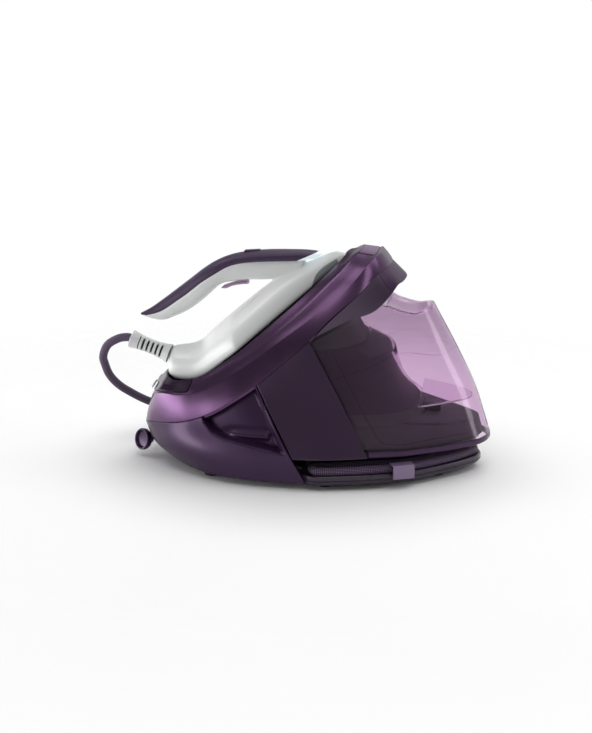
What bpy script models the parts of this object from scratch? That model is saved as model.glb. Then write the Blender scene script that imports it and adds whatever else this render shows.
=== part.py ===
"""Steam generator iron: base with platform, water tank, hose, and the iron resting on it.

Frame: +X from the iron's heel towards the water tank, +Z up, y = 0 is the plane of symmetry.
Sizes below are in millimetres and become metres when an object is made.
"""
import math

import bmesh
import bpy
import numpy as np
from mathutils import Vector

for old in list(bpy.data.objects):
    bpy.data.objects.remove(old, do_unlink=True)

# ---------------------------------------------------------------- driving sizes
MM = 0.001
X0 = 5.15                # shift that puts the origin under the middle of the object
GAP = 0.6                # joint line between neighbouring casing panels
WALL = 2.4               # casing wall
TILT = math.radians(41)  # slope of the ironing platform
NOSE_X, NOSE_Z = 39.0, 253.5     # tip of the soleplate's underside
HOSE_R = 5.4
LIP_Z = 38.0             # underside of the lip above the hose groove
GROOVE_Z = 16.6          # floor of the hose groove
TRAY_Z = 6.3             # underside of the tray
NU = 29                  # points along half an outline

# Outlines are half outlines (x, half width, z), from the heel round to the tank end.
FOOT_LINE = [(-188, 0, 8), (-184, 24, 8), (-176, 42, 8), (-163, 60, 8), (-145, 81, 8), (-123, 101, 8),
             (-95, 115, 8), (-66, 123, 8), (-30, 127, 8), (5, 129, 8)]
CHIN_LINE = [(-211, 0, 27), (-206, 26, 28), (-197, 47, 29), (-180, 68, 30), (-158, 88, 32),
             (-128, 107, 34), (-95, 119, 37), (-60, 126, 39), (-14, 130, 42)]
SEAM = [(-219, 0, 46), (-215, 24, 49), (-206, 42, 54), (-194, 56, 57), (-175, 73, 62), (-158, 82, 66),
        (-130, 92, 76), (-111, 98, 86), (-91, 102, 99), (-59, 103, 121), (-29, 102, 146),
        (5, 100, 177), (29, 93, 202), (46, 86, 218), (64, 76, 235), (74, 66, 247), (84, 54, 256),
        (90, 40, 260), (94, 20, 261), (95, 0, 261)]
CREASE = [(-209, 0, 82), (-206, 22, 85), (-198, 42, 91), (-181, 60, 96), (-160, 73, 98),
          (-139, 80, 103), (-112, 86, 116), (-93, 88, 129), (-67, 89, 146), (-36, 88, 170),
          (5, 82, 201), (28, 76, 220), (51, 68, 240), (62, 62, 252), (72, 54, 262), (79, 43, 268),
          (83, 26, 271), (85, 0, 272)]
MIDLINE = [(-199, 0, 101), (-195, 24, 101), (-186, 44, 103), (-170, 58, 105), (-148, 68, 109),
           (-124, 75, 121), (-96, 78, 139), (-68, 78, 158), (-36, 75, 184), (-8, 69, 208),
           (15, 59, 231), (38, 47, 255), (52, 37, 268), (60, 27, 273), (65, 14, 274), (66, 0, 274)]
RIM = [(-187, 0, 114), (-184, 26, 112), (-175, 44, 110), (-160, 56, 112), (-136, 64, 120),
       (-100, 67, 143), (-70, 66, 167), (-40, 61, 193), (-11, 52, 219), (12, 39, 241), (28, 27, 256),
       (40, 14, 267), (46, 0, 271)]
TANK_BOTTOM = [(80, 112, 46), (119, 100, 46), (145, 85, 46), (172, 67, 46), (195, 49, 46),
               (209, 36, 46), (219, 18, 46), (223, 0, 46)]
TANK_LOW = [(46, 106, 108), (80, 97, 108), (115, 84, 108), (145, 68, 108), (170, 50, 108),
            (186, 36, 108), (198, 18, 108), (202, 0, 108)]
TANK_PART = [(20, 101, 157), (50, 92, 157), (90, 78, 157), (120, 62, 157), (145, 47, 157),
             (160, 36, 157), (173, 18, 157), (178, 0, 157)]
TANK_TOP = [(9, 98.5, 176), (50, 79, 194), (88, 48, 214), (96, 43, 212), (103, 41, 209),
            (116, 40, 205), (128, 38, 203), (140, 28, 206), (147, 12, 209), (149, 0, 210)]
OVERHANG = [(13.5, 96.5, 182.2), (50, 80, 199), (83, 61, 210), (100, 52, 228), (107, 44, 238),
            (113, 22, 240), (115, 0, 241)]
TRAY = [(-183, 0, 8), (-179, 22, 8), (-171, 39, 8), (-159, 56, 8), (-141, 76, 8), (-120, 96, 8),
        (-93, 110, 8), (-65, 118, 8), (-30, 122, 8), (2, 124, 8), (9, 130, 8), (44, 128, 8),
        (68, 122, 8), (92, 114, 8), (116, 103, 8), (140, 87.5, 8), (164, 66.5, 8), (187, 44, 8),
        (200, 28, 8), (209, 13, 8), (212, 0, 8)]


# ---------------------------------------------------------------- curves and rings
def smooth(pts, n):
    """n points evenly spaced along a smooth curve through pts."""
    p = np.array(pts, float)
    if len(p) < 3:
        return p[0] + (p[-1] - p[0]) * np.linspace(0, 1, n)[:, None]
    d = np.r_[0, np.cumsum(np.linalg.norm(np.diff(p, axis=0), axis=1))]
    m = np.gradient(p, d, axis=0)
    fine = []
    for i in range(len(p) - 1):
        h = d[i + 1] - d[i]
        t = np.linspace(0, 1, 25)[:-1, None]
        fine.append((2 * t**3 - 3 * t**2 + 1) * p[i] + (t**3 - 2 * t**2 + t) * h * m[i]
                    + (3 * t**2 - 2 * t**3) * p[i + 1] + (t**3 - t**2) * h * m[i + 1])
    f = np.vstack(fine + [p[-1:]])
    a = np.r_[0, np.cumsum(np.linalg.norm(np.diff(f, axis=0), axis=1))]
    s = np.linspace(0, a[-1], n)
    return np.stack([np.interp(s, a, f[:, k]) for k in range(p.shape[1])], 1)


def full(half, closed):
    """Mirror a half outline: near side (y < 0) first. closed: both ends lie on y = 0."""
    h = np.array(half, float)
    near = h * [1, -1, 1]
    if closed:
        return np.vstack([near, h[-2:0:-1]])
    return h


def normals(ring, closed):
    """Plan normals of a ring of points, pointing outwards for near-side-first order."""
    if closed:
        t = np.roll(ring, -1, 0) - np.roll(ring, 1, 0)
    else:
        t = np.gradient(ring, axis=0)
    n = np.stack([t[:, 1], -t[:, 0], np.zeros(len(ring))], 1)
    return n / np.linalg.norm(n, axis=1)[:, None]


def inset(ring, d, closed=True, dz=0.0):
    return ring - normals(ring, closed) * d + [0, 0, dz]


def cut(half, lo=None, hi=None, n=NU):
    """The stretch of a half outline between two x positions, resampled."""
    p = smooth(half, 600)
    if lo is not None:
        p = p[p[:, 0] >= lo]
    if hi is not None:
        p = p[p[:, 0] <= hi]
    pick = np.linspace(0, len(p) - 1, 24).round().astype(int)
    return smooth(p[np.unique(pick)], n)


def heel_u(half):
    """near -> heel -> far, for a half outline that starts at the heel (y = 0)."""
    h = np.array(half)
    return np.vstack([(h * [1, -1, 1])[::-1], h[1:]])


def stern_u(half):
    """near -> tank end -> far, for a half outline that ends at y = 0."""
    h = np.array(half)
    return np.vstack([h * [1, -1, 1], h[-2::-1]])


# ---------------------------------------------------------------- materials and objects
def material(name, rgb, rough=0.4, metal=0.0, alpha=1.0):
    m = bpy.data.materials.new(name)
    m.use_nodes = True
    b = m.node_tree.nodes["Principled BSDF"]
    b.inputs["Base Color"].default_value = (*rgb, 1)
    b.inputs["Roughness"].default_value = rough
    b.inputs["Metallic"].default_value = metal
    b.inputs["Alpha"].default_value = alpha
    m.diffuse_color = (*rgb, alpha)
    return m


RING_PURPLE = ((0.20, 0.10, 0.24), 0.30, 0.6)
CASE_VIOLET = ((0.07, 0.04, 0.10), 0.30, 0.2)
DARK = ((0.025, 0.02, 0.03), 0.35, 0.0)
WHITE = ((0.80, 0.82, 0.82), 0.28, 0.0)
GREY = ((0.42, 0.44, 0.45), 0.35, 0.0)
PINK = ((0.62, 0.38, 0.62), 0.10, 0.0, 0.45)
LILAC = ((0.45, 0.28, 0.46), 0.30, 0.3)
BLACK = ((0.01, 0.01, 0.012), 0.5, 0.0)
STEEL = ((0.60, 0.61, 0.62), 0.25, 0.9)
BRASS = ((0.60, 0.45, 0.18), 0.30, 0.9)


def finish(name, verts, faces, look, origin=(0, 0, 0)):
    """Make a closed mesh object, outward facing, with its own material and origin."""
    me = bpy.data.meshes.new(name)
    o = Vector(origin)
    me.from_pydata([(Vector(v) - o) * MM for v in verts], [], faces)
    bm = bmesh.new()
    bm.from_mesh(me)
    bmesh.ops.remove_doubles(bm, verts=bm.verts, dist=0.00002)
    bmesh.ops.dissolve_degenerate(bm, edges=bm.edges, dist=0.00002)
    bmesh.ops.recalc_face_normals(bm, faces=bm.faces)
    if bm.calc_volume(signed=True) < 0:
        bmesh.ops.reverse_faces(bm, faces=bm.faces)
    bm.to_mesh(me)
    bm.free()
    ob = bpy.data.objects.new(name, me)
    ob.location = (o + Vector((X0, 0, 0))) * MM
    bpy.context.scene.collection.objects.link(ob)
    me.materials.append(material(name + "_mat", *look))
    return ob


def sheet(name, outer, inner, look, origin=(0, 0, 0)):
    """Closed panel between two equal grids of points (rows x columns x 3)."""
    outer, inner = np.array(outer), np.array(inner)
    r, c = outer.shape[:2]
    verts = np.vstack([outer.reshape(-1, 3), inner.reshape(-1, 3)])
    k = r * c
    faces = []
    for i in range(r - 1):
        for j in range(c - 1):
            a = i * c + j
            faces.append((a, a + 1, a + c + 1, a + c))
            faces.append((k + a, k + a + c, k + a + c + 1, k + a + 1))
    edge = ([j for j in range(c)] + [i * c + c - 1 for i in range(1, r)]
            + [(r - 1) * c + j for j in range(c - 2, -1, -1)] + [i * c for i in range(r - 2, 0, -1)])
    for a, b in zip(edge, edge[1:] + edge[:1]):
        faces.append((a, k + a, k + b, b))
    return finish(name, verts, faces, look, origin)


def swept(name, rings, look, loop=True, origin=(0, 0, 0)):
    """Closed solid whose section corners run along the given rings.

    loop: the rings close on themselves; otherwise the two end sections are capped."""
    rings = np.array(rings)
    s, n = rings.shape[:2]
    faces = []
    for i in range(s):
        k = (i + 1) % s
        for j in range(n if loop else n - 1):
            m = (j + 1) % n
            faces.append((i * n + j, i * n + m, k * n + m, k * n + j))
    if not loop:
        faces.append(tuple(i * n for i in range(s)))
        faces.append(tuple(i * n + n - 1 for i in reversed(range(s))))
    return finish(name, rings.reshape(-1, 3), faces, look, origin)


def stack(name, rings, look, origin=(0, 0, 0)):
    """Solid through a stack of rings symmetric about y = 0, capped by strips across y."""
    rings = np.array(rings)
    s, n = rings.shape[:2]
    faces = []
    for i in range(s - 1):
        for j in range(n):
            m = (j + 1) % n
            faces.append((i * n + j, i * n + m, (i + 1) * n + m, (i + 1) * n + j))
    h = n // 2
    for base in (0, (s - 1) * n):
        for j in range(h):
            quad = [base + j, base + j + 1, base + (n - j - 1) % n, base + (n - j) % n]
            faces.append(tuple(dict.fromkeys(quad)))
    return finish(name, rings.reshape(-1, 3), faces, look, origin)


def beam(name, low, high, width, section, look, n=24, origin=(0, 0, 0)):
    """Solid between a lower and an upper line in the y = 0 plane.

    section: (height share, half width share) corners of half the section, bottom to top."""
    lo, hi = smooth(low, n), smooth(high, n)
    w = np.interp(np.linspace(0, 1, n), np.linspace(0, 1, len(width)), width)
    half = [(v, f) for v, f in section]
    ring = [(v, -f) for v, f in half] + [(v, f) for v, f in reversed(half) if f > 0]
    rings = []
    for (lx, lz), (hx, hz), ww in zip(lo, hi, w):
        rings.append([(lx + (hx - lx) * v, ww * f, lz + (hz - lz) * v) for v, f in ring])
    rings = np.array(rings)
    s, m = rings.shape[:2]
    faces = [tuple(range(m)), tuple((s - 1) * m + j for j in reversed(range(m)))]
    for i in range(s - 1):
        for j in range(m):
            q = (j + 1) % m
            faces.append((i * m + j, (i + 1) * m + j, (i + 1) * m + q, i * m + q))
    return finish(name, rings.reshape(-1, 3), faces, look, origin)


def turned(name, profile, look, centre, axis=(0, 0, 1), seg=24, origin=None):
    """Solid or ring of revolution: profile of (radius, height along axis), closed loop or open
    with both ends on the axis."""
    a = Vector(axis).normalized()
    rot = Vector((0, 0, 1)).rotation_difference(a)
    c = Vector(centre)
    verts, faces = [], []
    on_axis = profile[0][0] == 0
    for r, h in profile:
        for k in range(seg):
            t = 2 * math.pi * k / seg
            verts.append(c + rot @ Vector((r * math.cos(t), r * math.sin(t), h)))
    p = len(profile)
    for i in range(p - 1 if on_axis else p):
        q = (i + 1) % p
        for k in range(seg):
            m = (k + 1) % seg
            quad = (i * seg + k, i * seg + m, q * seg + m, q * seg + k)
            if profile[i][0] == 0:
                quad = (i * seg, q * seg + m, q * seg + k)
            elif profile[q][0] == 0:
                quad = (i * seg + k, i * seg + m, q * seg)
            faces.append(quad)
    return finish(name, verts, faces, look, origin if origin is not None else centre)


def block(name, centre, size, look, bevel=2.0, tilt=0.0, origin=None, seg=2):
    """Rounded block, turned by tilt (degrees) about Y."""
    bm = bmesh.new()
    bmesh.ops.create_cube(bm, size=1.0)
    for v in bm.verts:
        v.co = Vector((v.co.x * size[0], v.co.y * size[1], v.co.z * size[2]))
    if bevel:
        bmesh.ops.bevel(bm, geom=bm.edges[:], offset=bevel, segments=seg, profile=0.5, affect='EDGES')
    t = math.radians(tilt)
    bm.verts.index_update()
    verts = []
    for v in bm.verts:
        x, y, z = v.co
        verts.append((centre[0] + x * math.cos(t) - z * math.sin(t), centre[1] + y,
                      centre[2] + x * math.sin(t) + z * math.cos(t)))
    faces = [tuple(v.index for v in f.verts) for f in bm.faces]
    bm.free()
    return finish(name, verts, faces, look, origin if origin is not None else centre)


def cord_points(route, n):
    """n points on a smooth curve through the route, closer together where it bends."""
    p = smooth(route, 1600)
    t = np.diff(p, axis=0)
    t /= np.linalg.norm(t, axis=1)[:, None]
    turn = np.r_[0, np.arccos(np.clip((t[1:] * t[:-1]).sum(1), -1, 1))]
    step = np.linalg.norm(np.diff(p, axis=0), axis=1) / 42.0 + turn * 2.6
    a = np.r_[0, np.cumsum(step)]
    s = np.linspace(0, a[-1], n)
    return np.stack([np.interp(s, a, p[:, k]) for k in range(3)], 1)


def cord(name, route, radius, look, n, res=3):
    """Round tube along a smooth curve through the route's points."""
    cu = bpy.data.curves.new(name, 'CURVE')
    cu.dimensions = '3D'
    pts = cord_points(route, n)
    sp = cu.splines.new('POLY')
    sp.points.add(len(pts) - 1)
    for q, (x, y, z) in zip(sp.points, pts):
        q.co = ((x + X0) * MM, y * MM, z * MM, 1)
    cu.bevel_depth = radius * MM
    cu.bevel_resolution = res
    cu.use_fill_caps = True
    ob = bpy.data.objects.new(name, cu)
    bpy.context.scene.collection.objects.link(ob)
    cu.materials.append(material(name + "_mat", *look))
    return ob


def platform_z(x):
    """Height of the soleplate's underside plane at x."""
    return NOSE_Z + math.tan(TILT) * (x - NOSE_X)


def on_plane(x, up_by):
    """Point (x, z) on the line a given distance above the soleplate's underside plane."""
    return (x - up_by * math.sin(TILT), platform_z(x) + up_by * math.cos(TILT))


# ---------------------------------------------------------------- base: tray, feet, frame
tray = full(smooth(TRAY, 41), True)
stack("base_tray", [
    inset(tray, 4.0) * [1, 1, 0] + [0, 0, TRAY_Z],
    inset(tray, 0.0) * [1, 1, 0] + [0, 0, TRAY_Z + 3.5],
    inset(tray, 0.0) * [1, 1, 0] + [0, 0, 17.6],
    inset(tray, 0.8) * [1, 1, 0] + [0, 0, 18.6],
    inset(tray, 2.2) * [1, 1, 0] + [0, 0, 18.6],
    inset(tray, 2.6) * [1, 1, 0] + [0, 0, GROOVE_Z],
    inset(tray, 33.0) * [1, 1, 0] + [0, 0, GROOVE_Z],
    inset(tray, 35.0) * [1, 1, 0] + [0, 0, TRAY_Z + 3.0],
], BLACK)

FEET = [(-118, 82), (26, 106), (158, 42)]
for i, (fx, fy) in enumerate(FEET):
    for side, s in (("near", -1), ("far", 1)):
        turned("foot_%d_%s" % (i + 1, side), [(0, 0), (8.0, 0), (9.5, 1.2), (9.5, 6.0), (0, 6.0)], BLACK,
               (fx, s * fy, 0), seg=16)

lip = stern_u(cut(TANK_BOTTOM, n=NU))
LIP_T = 3.0
swept("tank_lip", [
    inset(lip, 0.0, False) * [1, 1, 0] + [0, 0, LIP_Z + 1.2],
    inset(lip, 0.0, False) * [1, 1, 0] + [0, 0, 45.2],
    inset(lip, LIP_T, False) * [1, 1, 0] + [0, 0, 45.2],
    inset(lip, LIP_T, False) * [1, 1, 0] + [0, 0, LIP_Z],
    inset(lip, 1.2, False) * [1, 1, 0] + [0, 0, LIP_Z],
], CASE_VIOLET, loop=False)

frame_half = smooth([(3, 126, 0), (20, 125, 0), (50, 118.5, 0), (80, 108.5, 0), (119, 96, 0), (145, 81, 0),
                     (170, 59, 0), (189, 41, 0), (200, 27, 0), (208, 13, 0), (211, 0, 0)], NU)
frame = stern_u(frame_half)
swept("lower_frame", [
    inset(frame, 2.4, False) + [0, 0, LIP_Z + 0.6],
    inset(frame, 2.4, False) + [0, 0, 44.6],
    inset(frame, 30.6, False) + [0, 0, 44.6],
    inset(frame, 30.6, False) + [0, 0, GROOVE_Z + 0.4],
    inset(frame, 27.6, False) + [0, 0, GROOVE_Z + 0.4],
    inset(frame, 27.6, False) + [0, 0, LIP_Z + 0.6],
], BLACK, loop=False)


# ---------------------------------------------------------------- base: casing panels
def columns(lines, rows):
    """Grid of points: each column is a smooth curve through the same place on every line."""
    cols = [smooth([l[j] for l in lines], rows) for j in range(len(lines[0]))]
    return np.array(cols).transpose(1, 0, 2)


def shell(name, grid, wall, look, origin=(0, 0, 0)):
    """Panel of even wall thickness behind a grid of outer points."""
    g = np.array(grid)
    du = np.gradient(g, axis=1)
    dv = np.gradient(g, axis=0)
    n = np.cross(du, dv)
    n[0, :, 2] = n[-1, :, 2] = 0.0
    n /= np.linalg.norm(n, axis=2)[:, :, None]
    i, j = g.shape[0] // 2, g.shape[1] // 4
    if n[i, j, 1] * g[i, j, 1] < 0:
        n = -n
    return sheet(name, g, g - n * wall, look, origin)


half_cols = 27
heel = [heel_u(cut(FOOT_LINE, n=half_cols)), heel_u(cut(CHIN_LINE, n=half_cols)),
        heel_u(cut(SEAM, hi=-58.5, n=half_cols)) - [0, 0, GAP]]
heel_grid = columns(heel, 12)

# carry grips: the casing is scooped inwards under the ring's edge on each side
GRIP_DEPTH = 15.0
GRIP_FLOOR = [(-135, 88), (-126, 72), (-112, 61), (-95, 56), (-66, 52), (-34, 47), (-12, 42)]


def grip_depth(x, z):
    floor_z = np.interp(x, [p[0] for p in GRIP_FLOOR], [p[1] for p in GRIP_FLOOR])
    up = np.clip((z - floor_z + 4.0) / 14.0, 0, 1)
    left = np.clip((x + 132.0) / 16.0, 0, 1)
    right = np.clip((-0.53 * (z - 124.0) - 57.0 - 5.0 - x) / 14.0, 0, 1)
    ease = [t * t * (3 - 2 * t) for t in (up, left, right)]
    return GRIP_DEPTH * ease[0] * ease[1] * ease[2]


heel_grid[:, :, 1] -= np.sign(heel_grid[:, :, 1]) * grip_depth(heel_grid[:, :, 0], heel_grid[:, :, 2])
shell("lower_casing", heel_grid, WALL, CASE_VIOLET)

side_low = smooth([(-10.2, 129.8, LIP_Z), (20, 128.5, LIP_Z), (50, 122, LIP_Z), (79, 112.5, LIP_Z)], 13)
side_mid = smooth([(-33.0, 119.5, 80), (5, 114.5, 91), (45, 106.2, 106)], 13)
side_top = cut(SEAM, lo=-57.4, hi=6.0, n=13) - [0, 0, GAP]
for side, s in (("near", -1), ("far", 1)):
    grid = columns([side_low * [1, s, 1], side_mid * [1, s, 1], side_top * [1, s, 1]], 7)
    shell("side_cover_" + side, grid, WALL, CASE_VIOLET)

over_top = inset(stern_u(cut(SEAM, lo=15.0, n=21)), 0.5, False) - [0, 0, 2.0]
over_low = stern_u(smooth(OVERHANG, 21))
corner = 14
grid = columns([over_top, over_low], 5)
for side, sl in (("near", slice(0, corner)), ("far", slice(-corner, None))):
    shell("overhang_side_" + side, grid[:, sl], WALL, DARK)
end = grid[:, corner - 1:-corner + 1].copy()
end[:, 0] += (end[:, 1] - end[:, 0]) * 0.12
end[:, -1] += (end[:, -2] - end[:, -1]) * 0.12
shell("overhang_end_cap", end, WALL, RING_PURPLE)
# ---------------------------------------------------------------- base: ring and platform
seam, crease = full(smooth(SEAM, NU), True), full(smooth(CREASE, NU), True)
midline, rim = full(smooth(MIDLINE, NU), True), full(smooth(RIM, NU), True)
swept("platform_surround", [
    seam, seam * 0.5 + crease * 0.5 + normals(crease, True) * 1.2, crease, midline, rim,
    inset(rim, 0.0, dz=-13), inset(rim, -2.6, dz=-13), inset(rim, -2.6, dz=-4),
    inset(midline, 0.0, dz=-4.0), inset(crease, 4.0, dz=-3.0), inset(seam, 3.0),
], RING_PURPLE)

plate_half = smooth([(-184, 0, 0), (-181, 25, 0), (-172, 41, 0), (-158, 52, 0), (-136, 60, 0), (-100, 63, 0),
                     (-70, 62, 0), (-40, 57, 0), (-11, 48, 0), (10, 36, 0), (26, 24, 0), (37, 12, 0),
                     (42, 0, 0)], NU)
plate = full(plate_half, True)


def plate_z(x, drop):
    flat = NOSE_Z + math.tan(TILT) * (x - NOSE_X)
    heel_z = 98.0 + 0.0015 * (x + 187) ** 2
    return np.maximum(flat, heel_z) - drop


top = plate.copy()
top[:, 2] = plate_z(plate[:, 0], 7.0)
low = plate.copy()
low[:, 2] = plate_z(plate[:, 0], 10.0)
stack("platform_plate", [low, top], BLACK)
for i, (rx, ry) in enumerate([(-60, 0), (8, 0)]):
    cx, cz = on_plane(rx, -2.7)
    block("heat_rest_%d" % (i + 1), (cx, ry, cz), (9, 60 - i * 24, 4.0), GREY, 1.2, tilt=41)

# control panel on the heel end of the ring, with two buttons and a light
heel_band = 7
idx = list(range(-heel_band, heel_band + 1))
up = np.array([0, 0, 1.0])
panel_lines = []
for w in (0.12, 0.4, 0.7, 0.95):
    row = []
    for j in idx:
        a, b, c = crease[j], midline[j], rim[j]
        p = a + (b - a) * (w / 0.5) if w < 0.5 else b + (c - b) * ((w - 0.5) / 0.5)
        row.append(p)
    panel_lines.append(row)
panel = np.array(panel_lines)
lift = np.array([-0.62, 0, 0.78])
sheet("control_panel", panel + lift * 2.0, panel + lift * 0.8, DARK)
for name, y in (("on_off_button", -15.0), ("eco_button", 15.0)):
    turned(name, [(0, 0), (6.0, 0), (6.0, 1.4), (5.0, 2.2), (0, 2.6)], GREY, (-203.9, y, 95.6),
           axis=(-0.84, 0, 0.54), seg=20)
turned("status_light", [(0, 0), (1.8, 0), (1.8, 0.8), (1.2, 1.3), (0, 1.5)], WHITE, (-206.2, 0, 92.6),
       axis=(-0.88, 0, 0.47), seg=16)

# carry lock on the nose end of the ring
block("carry_lock_button", (67, 0, 275.9), (20, 64, 2.4), LILAC, 1.0, tilt=-7)
block("carry_lock_hook", (55.0, 0, 257.0), (5, 16, 15), STEEL, 1.0)
turned("carry_lock_spring", [(2.4, 0), (4.0, 0), (4.0, 12), (2.4, 12)], STEEL, (66, 0, 257.0), seg=16)

# ---------------------------------------------------------------- water tank
rows, TC = 9, 22
tank_lines = [stern_u(smooth(l, TC)) for l in (TANK_BOTTOM, TANK_LOW, TANK_PART, TANK_TOP)]
tank_grid = columns(tank_lines, rows)
shell("water_tank", tank_grid, 2.2, PINK)
floor_half = smooth([(136, 70, 90), (150, 60, 90), (168, 46, 90), (184, 32, 90), (196, 16, 90), (200, 0, 90)], 14)
floor = np.array([floor_half[:-1] * [1, 1 - 2 * t, 1] for t in (0, 0.5, 1.0)])
sheet("tank_floor", floor + [0, 0, 2.0], floor, PINK)
cover_edge = tank_lines[3]
keep = [j for j in range(TC) if cover_edge[j, 0] > 92]
near_edge = inset(cover_edge, 3.6, False)[keep] - [0, 0, 1.0]
near_edge = near_edge[near_edge[:, 1] < -2.0]
cover = np.array([near_edge * [1, 1 - 2 * t, 1] - [0, 0, 7.0 * (1 - (2 * t - 1) ** 2)]
                  for t in (0, 0.2, 0.35, 0.65, 0.8, 1.0)])
sheet("tank_cover", cover + [0, 0, 0.0], cover - [0, 0, 2.2], PINK)

# ---------------------------------------------------------------- inner tower under the overhang
tower_lines = [
    [(56, 88, 88.5), (90, 78, 88.5), (114, 58, 88.5), (126, 30, 88.5), (128, 0, 88.5)],
    [(30, 84, 140), (62, 76, 140), (92, 58, 140), (105, 32, 140), (107, 0, 140)],
    [(22, 81, 166), (54, 72, 166), (84, 54, 166), (99, 30, 166), (101, 0, 166)],
    [(19, 78, 177), (40, 68, 181), (60, 52, 187), (72, 28, 190), (75, 0, 191)],
]
tower = columns([stern_u(smooth(l, 12)) for l in tower_lines], 8)
shell("inner_tower", tower, WALL, DARK)
tower_u = [stern_u(smooth(l, 12)) for l in tower_lines]
tower_u[0] = tower_u[0] * 0.874 + tower_u[1] * 0.126
wall_lines = [inset(l, -5.6, False) for l in tower_u]
inner_wall = columns(wall_lines, 7)
shell("tank_inner_wall", inner_wall, 2.0, PINK)
ped_low = stern_u(smooth([(84, 98, 45.9), (119, 92, 45.9), (145, 77, 45.9), (170, 59, 45.9), (191, 42, 45.9),
                          (203, 28, 45.9), (211, 14, 45.9), (214, 0, 45.9)], 21))
ped_top = stern_u(smooth([(66, 97, 84), (100, 87, 84), (130, 70, 84), (158, 50, 84), (176, 36, 84),
                          (190, 22, 84), (198, 10, 84), (200, 0, 84)], 21))
ped = np.array([ped_low, ped_low * 0.5 + ped_top * 0.5, ped_top])
shell("tank_pedestal", ped, WALL, DARK)
lid_near = inset(ped_top, 0.0, False)[:20] + [0, 0, 0.5]
lid = np.array([lid_near * [1, 1 - 2 * t, 1] for t in (0, 0.5, 1.0)])
sheet("pedestal_lid", lid + [0, 0, 2.4], lid, DARK)

# ---------------------------------------------------------------- working parts inside the base
turned("boiler", [(0, 0), (26, 0), (32, 6), (32, 84), (26, 90), (0, 90)], STEEL, (-118, -34, 60),
       axis=(1, 0, 0), seg=28)
turned("water_pump", [(0, 0), (17, 0), (19, 2), (19, 48), (17, 50), (0, 50)], GREY, (-60, 52, 40),
       axis=(1, 0, 0), seg=24)
block("solenoid_valve", (0, -34, 58), (34, 26, 30), BRASS, 2.0)
block("control_board", (25, 2, 30), (90, 52, 3.0), ((0.02, 0.16, 0.06), 0.5, 0.0), 0.6, seg=1)
block("tank_valve", (150, 0, 77.0), (22, 22, 12), DARK, 3.0)

# ---------------------------------------------------------------- heel fittings
KNOB_AXIS = Vector((-0.62, -0.76, 0.18)).normalized()
KNOB_C = Vector((-219.8, -16.6, 22.0))
turned("descale_knob", [(0, -12), (5.2, -12), (5.2, -5), (11.5, -4), (13.6, -1.5), (14.2, 3.5), (13.0, 5.4),
                        (11.2, 4.6), (10.2, 1.0), (0, 0.2)], DARK, KNOB_C, axis=KNOB_AXIS, seg=28)
turned("mains_inlet", [(2.6, 0), (5.6, 0), (5.6, 2.5), (4.2, 3.5), (4.0, 6), (2.6, 6)], BLACK,
       (-197.4, 12, 11.0), axis=(-0.66, 0.06, -0.75), seg=16)

# ---------------------------------------------------------------- steam hose and its fittings
HOSE_ROUTE = [
    (-233.5, 0, 149.2), (-240, 0, 152), (-250, 0.5, 151.5), (-260, 2, 147.5), (-269.5, 5, 141),
    (-277, 11, 129.5), (-280, 16, 119.5), (-279.5, 22, 110), (-278, 30, 97.5), (-274, 40, 85), (-266, 50, 73),
    (-257, 60, 63.5), (-246, 72, 53), (-232, 85, 43), (-210, 101, 35), (-182, 116, 29.5),
    (-148, 128, 26.5), (-100, 137, 25), (-50, 140, 24.6), (-10, 139, 24.8), (16, 133.4, 24.9),
    (34, 125.8, 24.2), (50, 118.4, 22.8), (64, 113.9, 22.3), (87, 106.3, 22.3), (104, 99, 22.3),
    (120, 90.2, 22.3), (140, 76.2, 22.3), (154, 63.8, 22.3), (172, 46.5, 22.3), (184.6, 33, 22.3),
    (196, 18, 22.3), (202, 7, 22.3), (203, 0, 22.3), (202, -7, 22.3), (196, -18, 22.3), (184.6, -33, 22.3),
    (172, -46.5, 22.3), (154, -63.8, 22.3), (140, -76.2, 22.3), (120, -90.2, 22.3), (104, -99, 22.3),
    (87, -106.3, 22.3), (64, -113.9, 22.3), (45, -118.6, 22.3), (32, -121.5, 22.3), (24, -122.4, 22.3),
    (17.5, -121.4, 22.3), (12.6, -117.6, 22.3), (11.0, -112.6, 22.3), (12.6, -107.6, 22.3),
    (17.5, -104.2, 22.3), (24, -103.2, 22.3), (30, -102.0, 22.3), (45.5, -98.0, 22.3), (60.2, -93.2, 22.3),
    (76.9, -87.5, 22.3), (94.7, -82.4, 22.3), (112, -76.1, 22.3), (127.7, -67.3, 22.3), (144.9, -53.6, 22.3),
    (158.5, -41.0, 22.3), (167.6, -32.7, 22.3), (175.7, -24.2, 22.3), (182.6, -15.8, 22.3), (188, -8, 22.3),
    (190.2, 0, 22.3), (188, 8, 22.3), (182.6, 15.8, 22.3), (175.7, 24.2, 22.3), (167.6, 32.7, 22.3),
    (158.5, 41.0, 22.3), (144.9, 53.6, 22.3), (127.7, 67.3, 22.3), (112, 76.1, 22.3), (94.7, 82.4, 22.3),
    (76.9, 87.6, 22.4), (58, 94.0, 22.9), (44, 98.8, 23.4),
]
cord("steam_hose", HOSE_ROUTE, HOSE_R, ((0.07, 0.045, 0.08), 0.7), 80, 2)
gland_axis = Vector((-1, 0.3, 0)).normalized()
turned("hose_gland", [(0, 1.0), (6.4, 1.0), (6.4, 12), (5.0, 16), (0, 16)], BLACK, (44, 98.8, 23.4),
       axis=gland_axis, seg=20)

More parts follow.
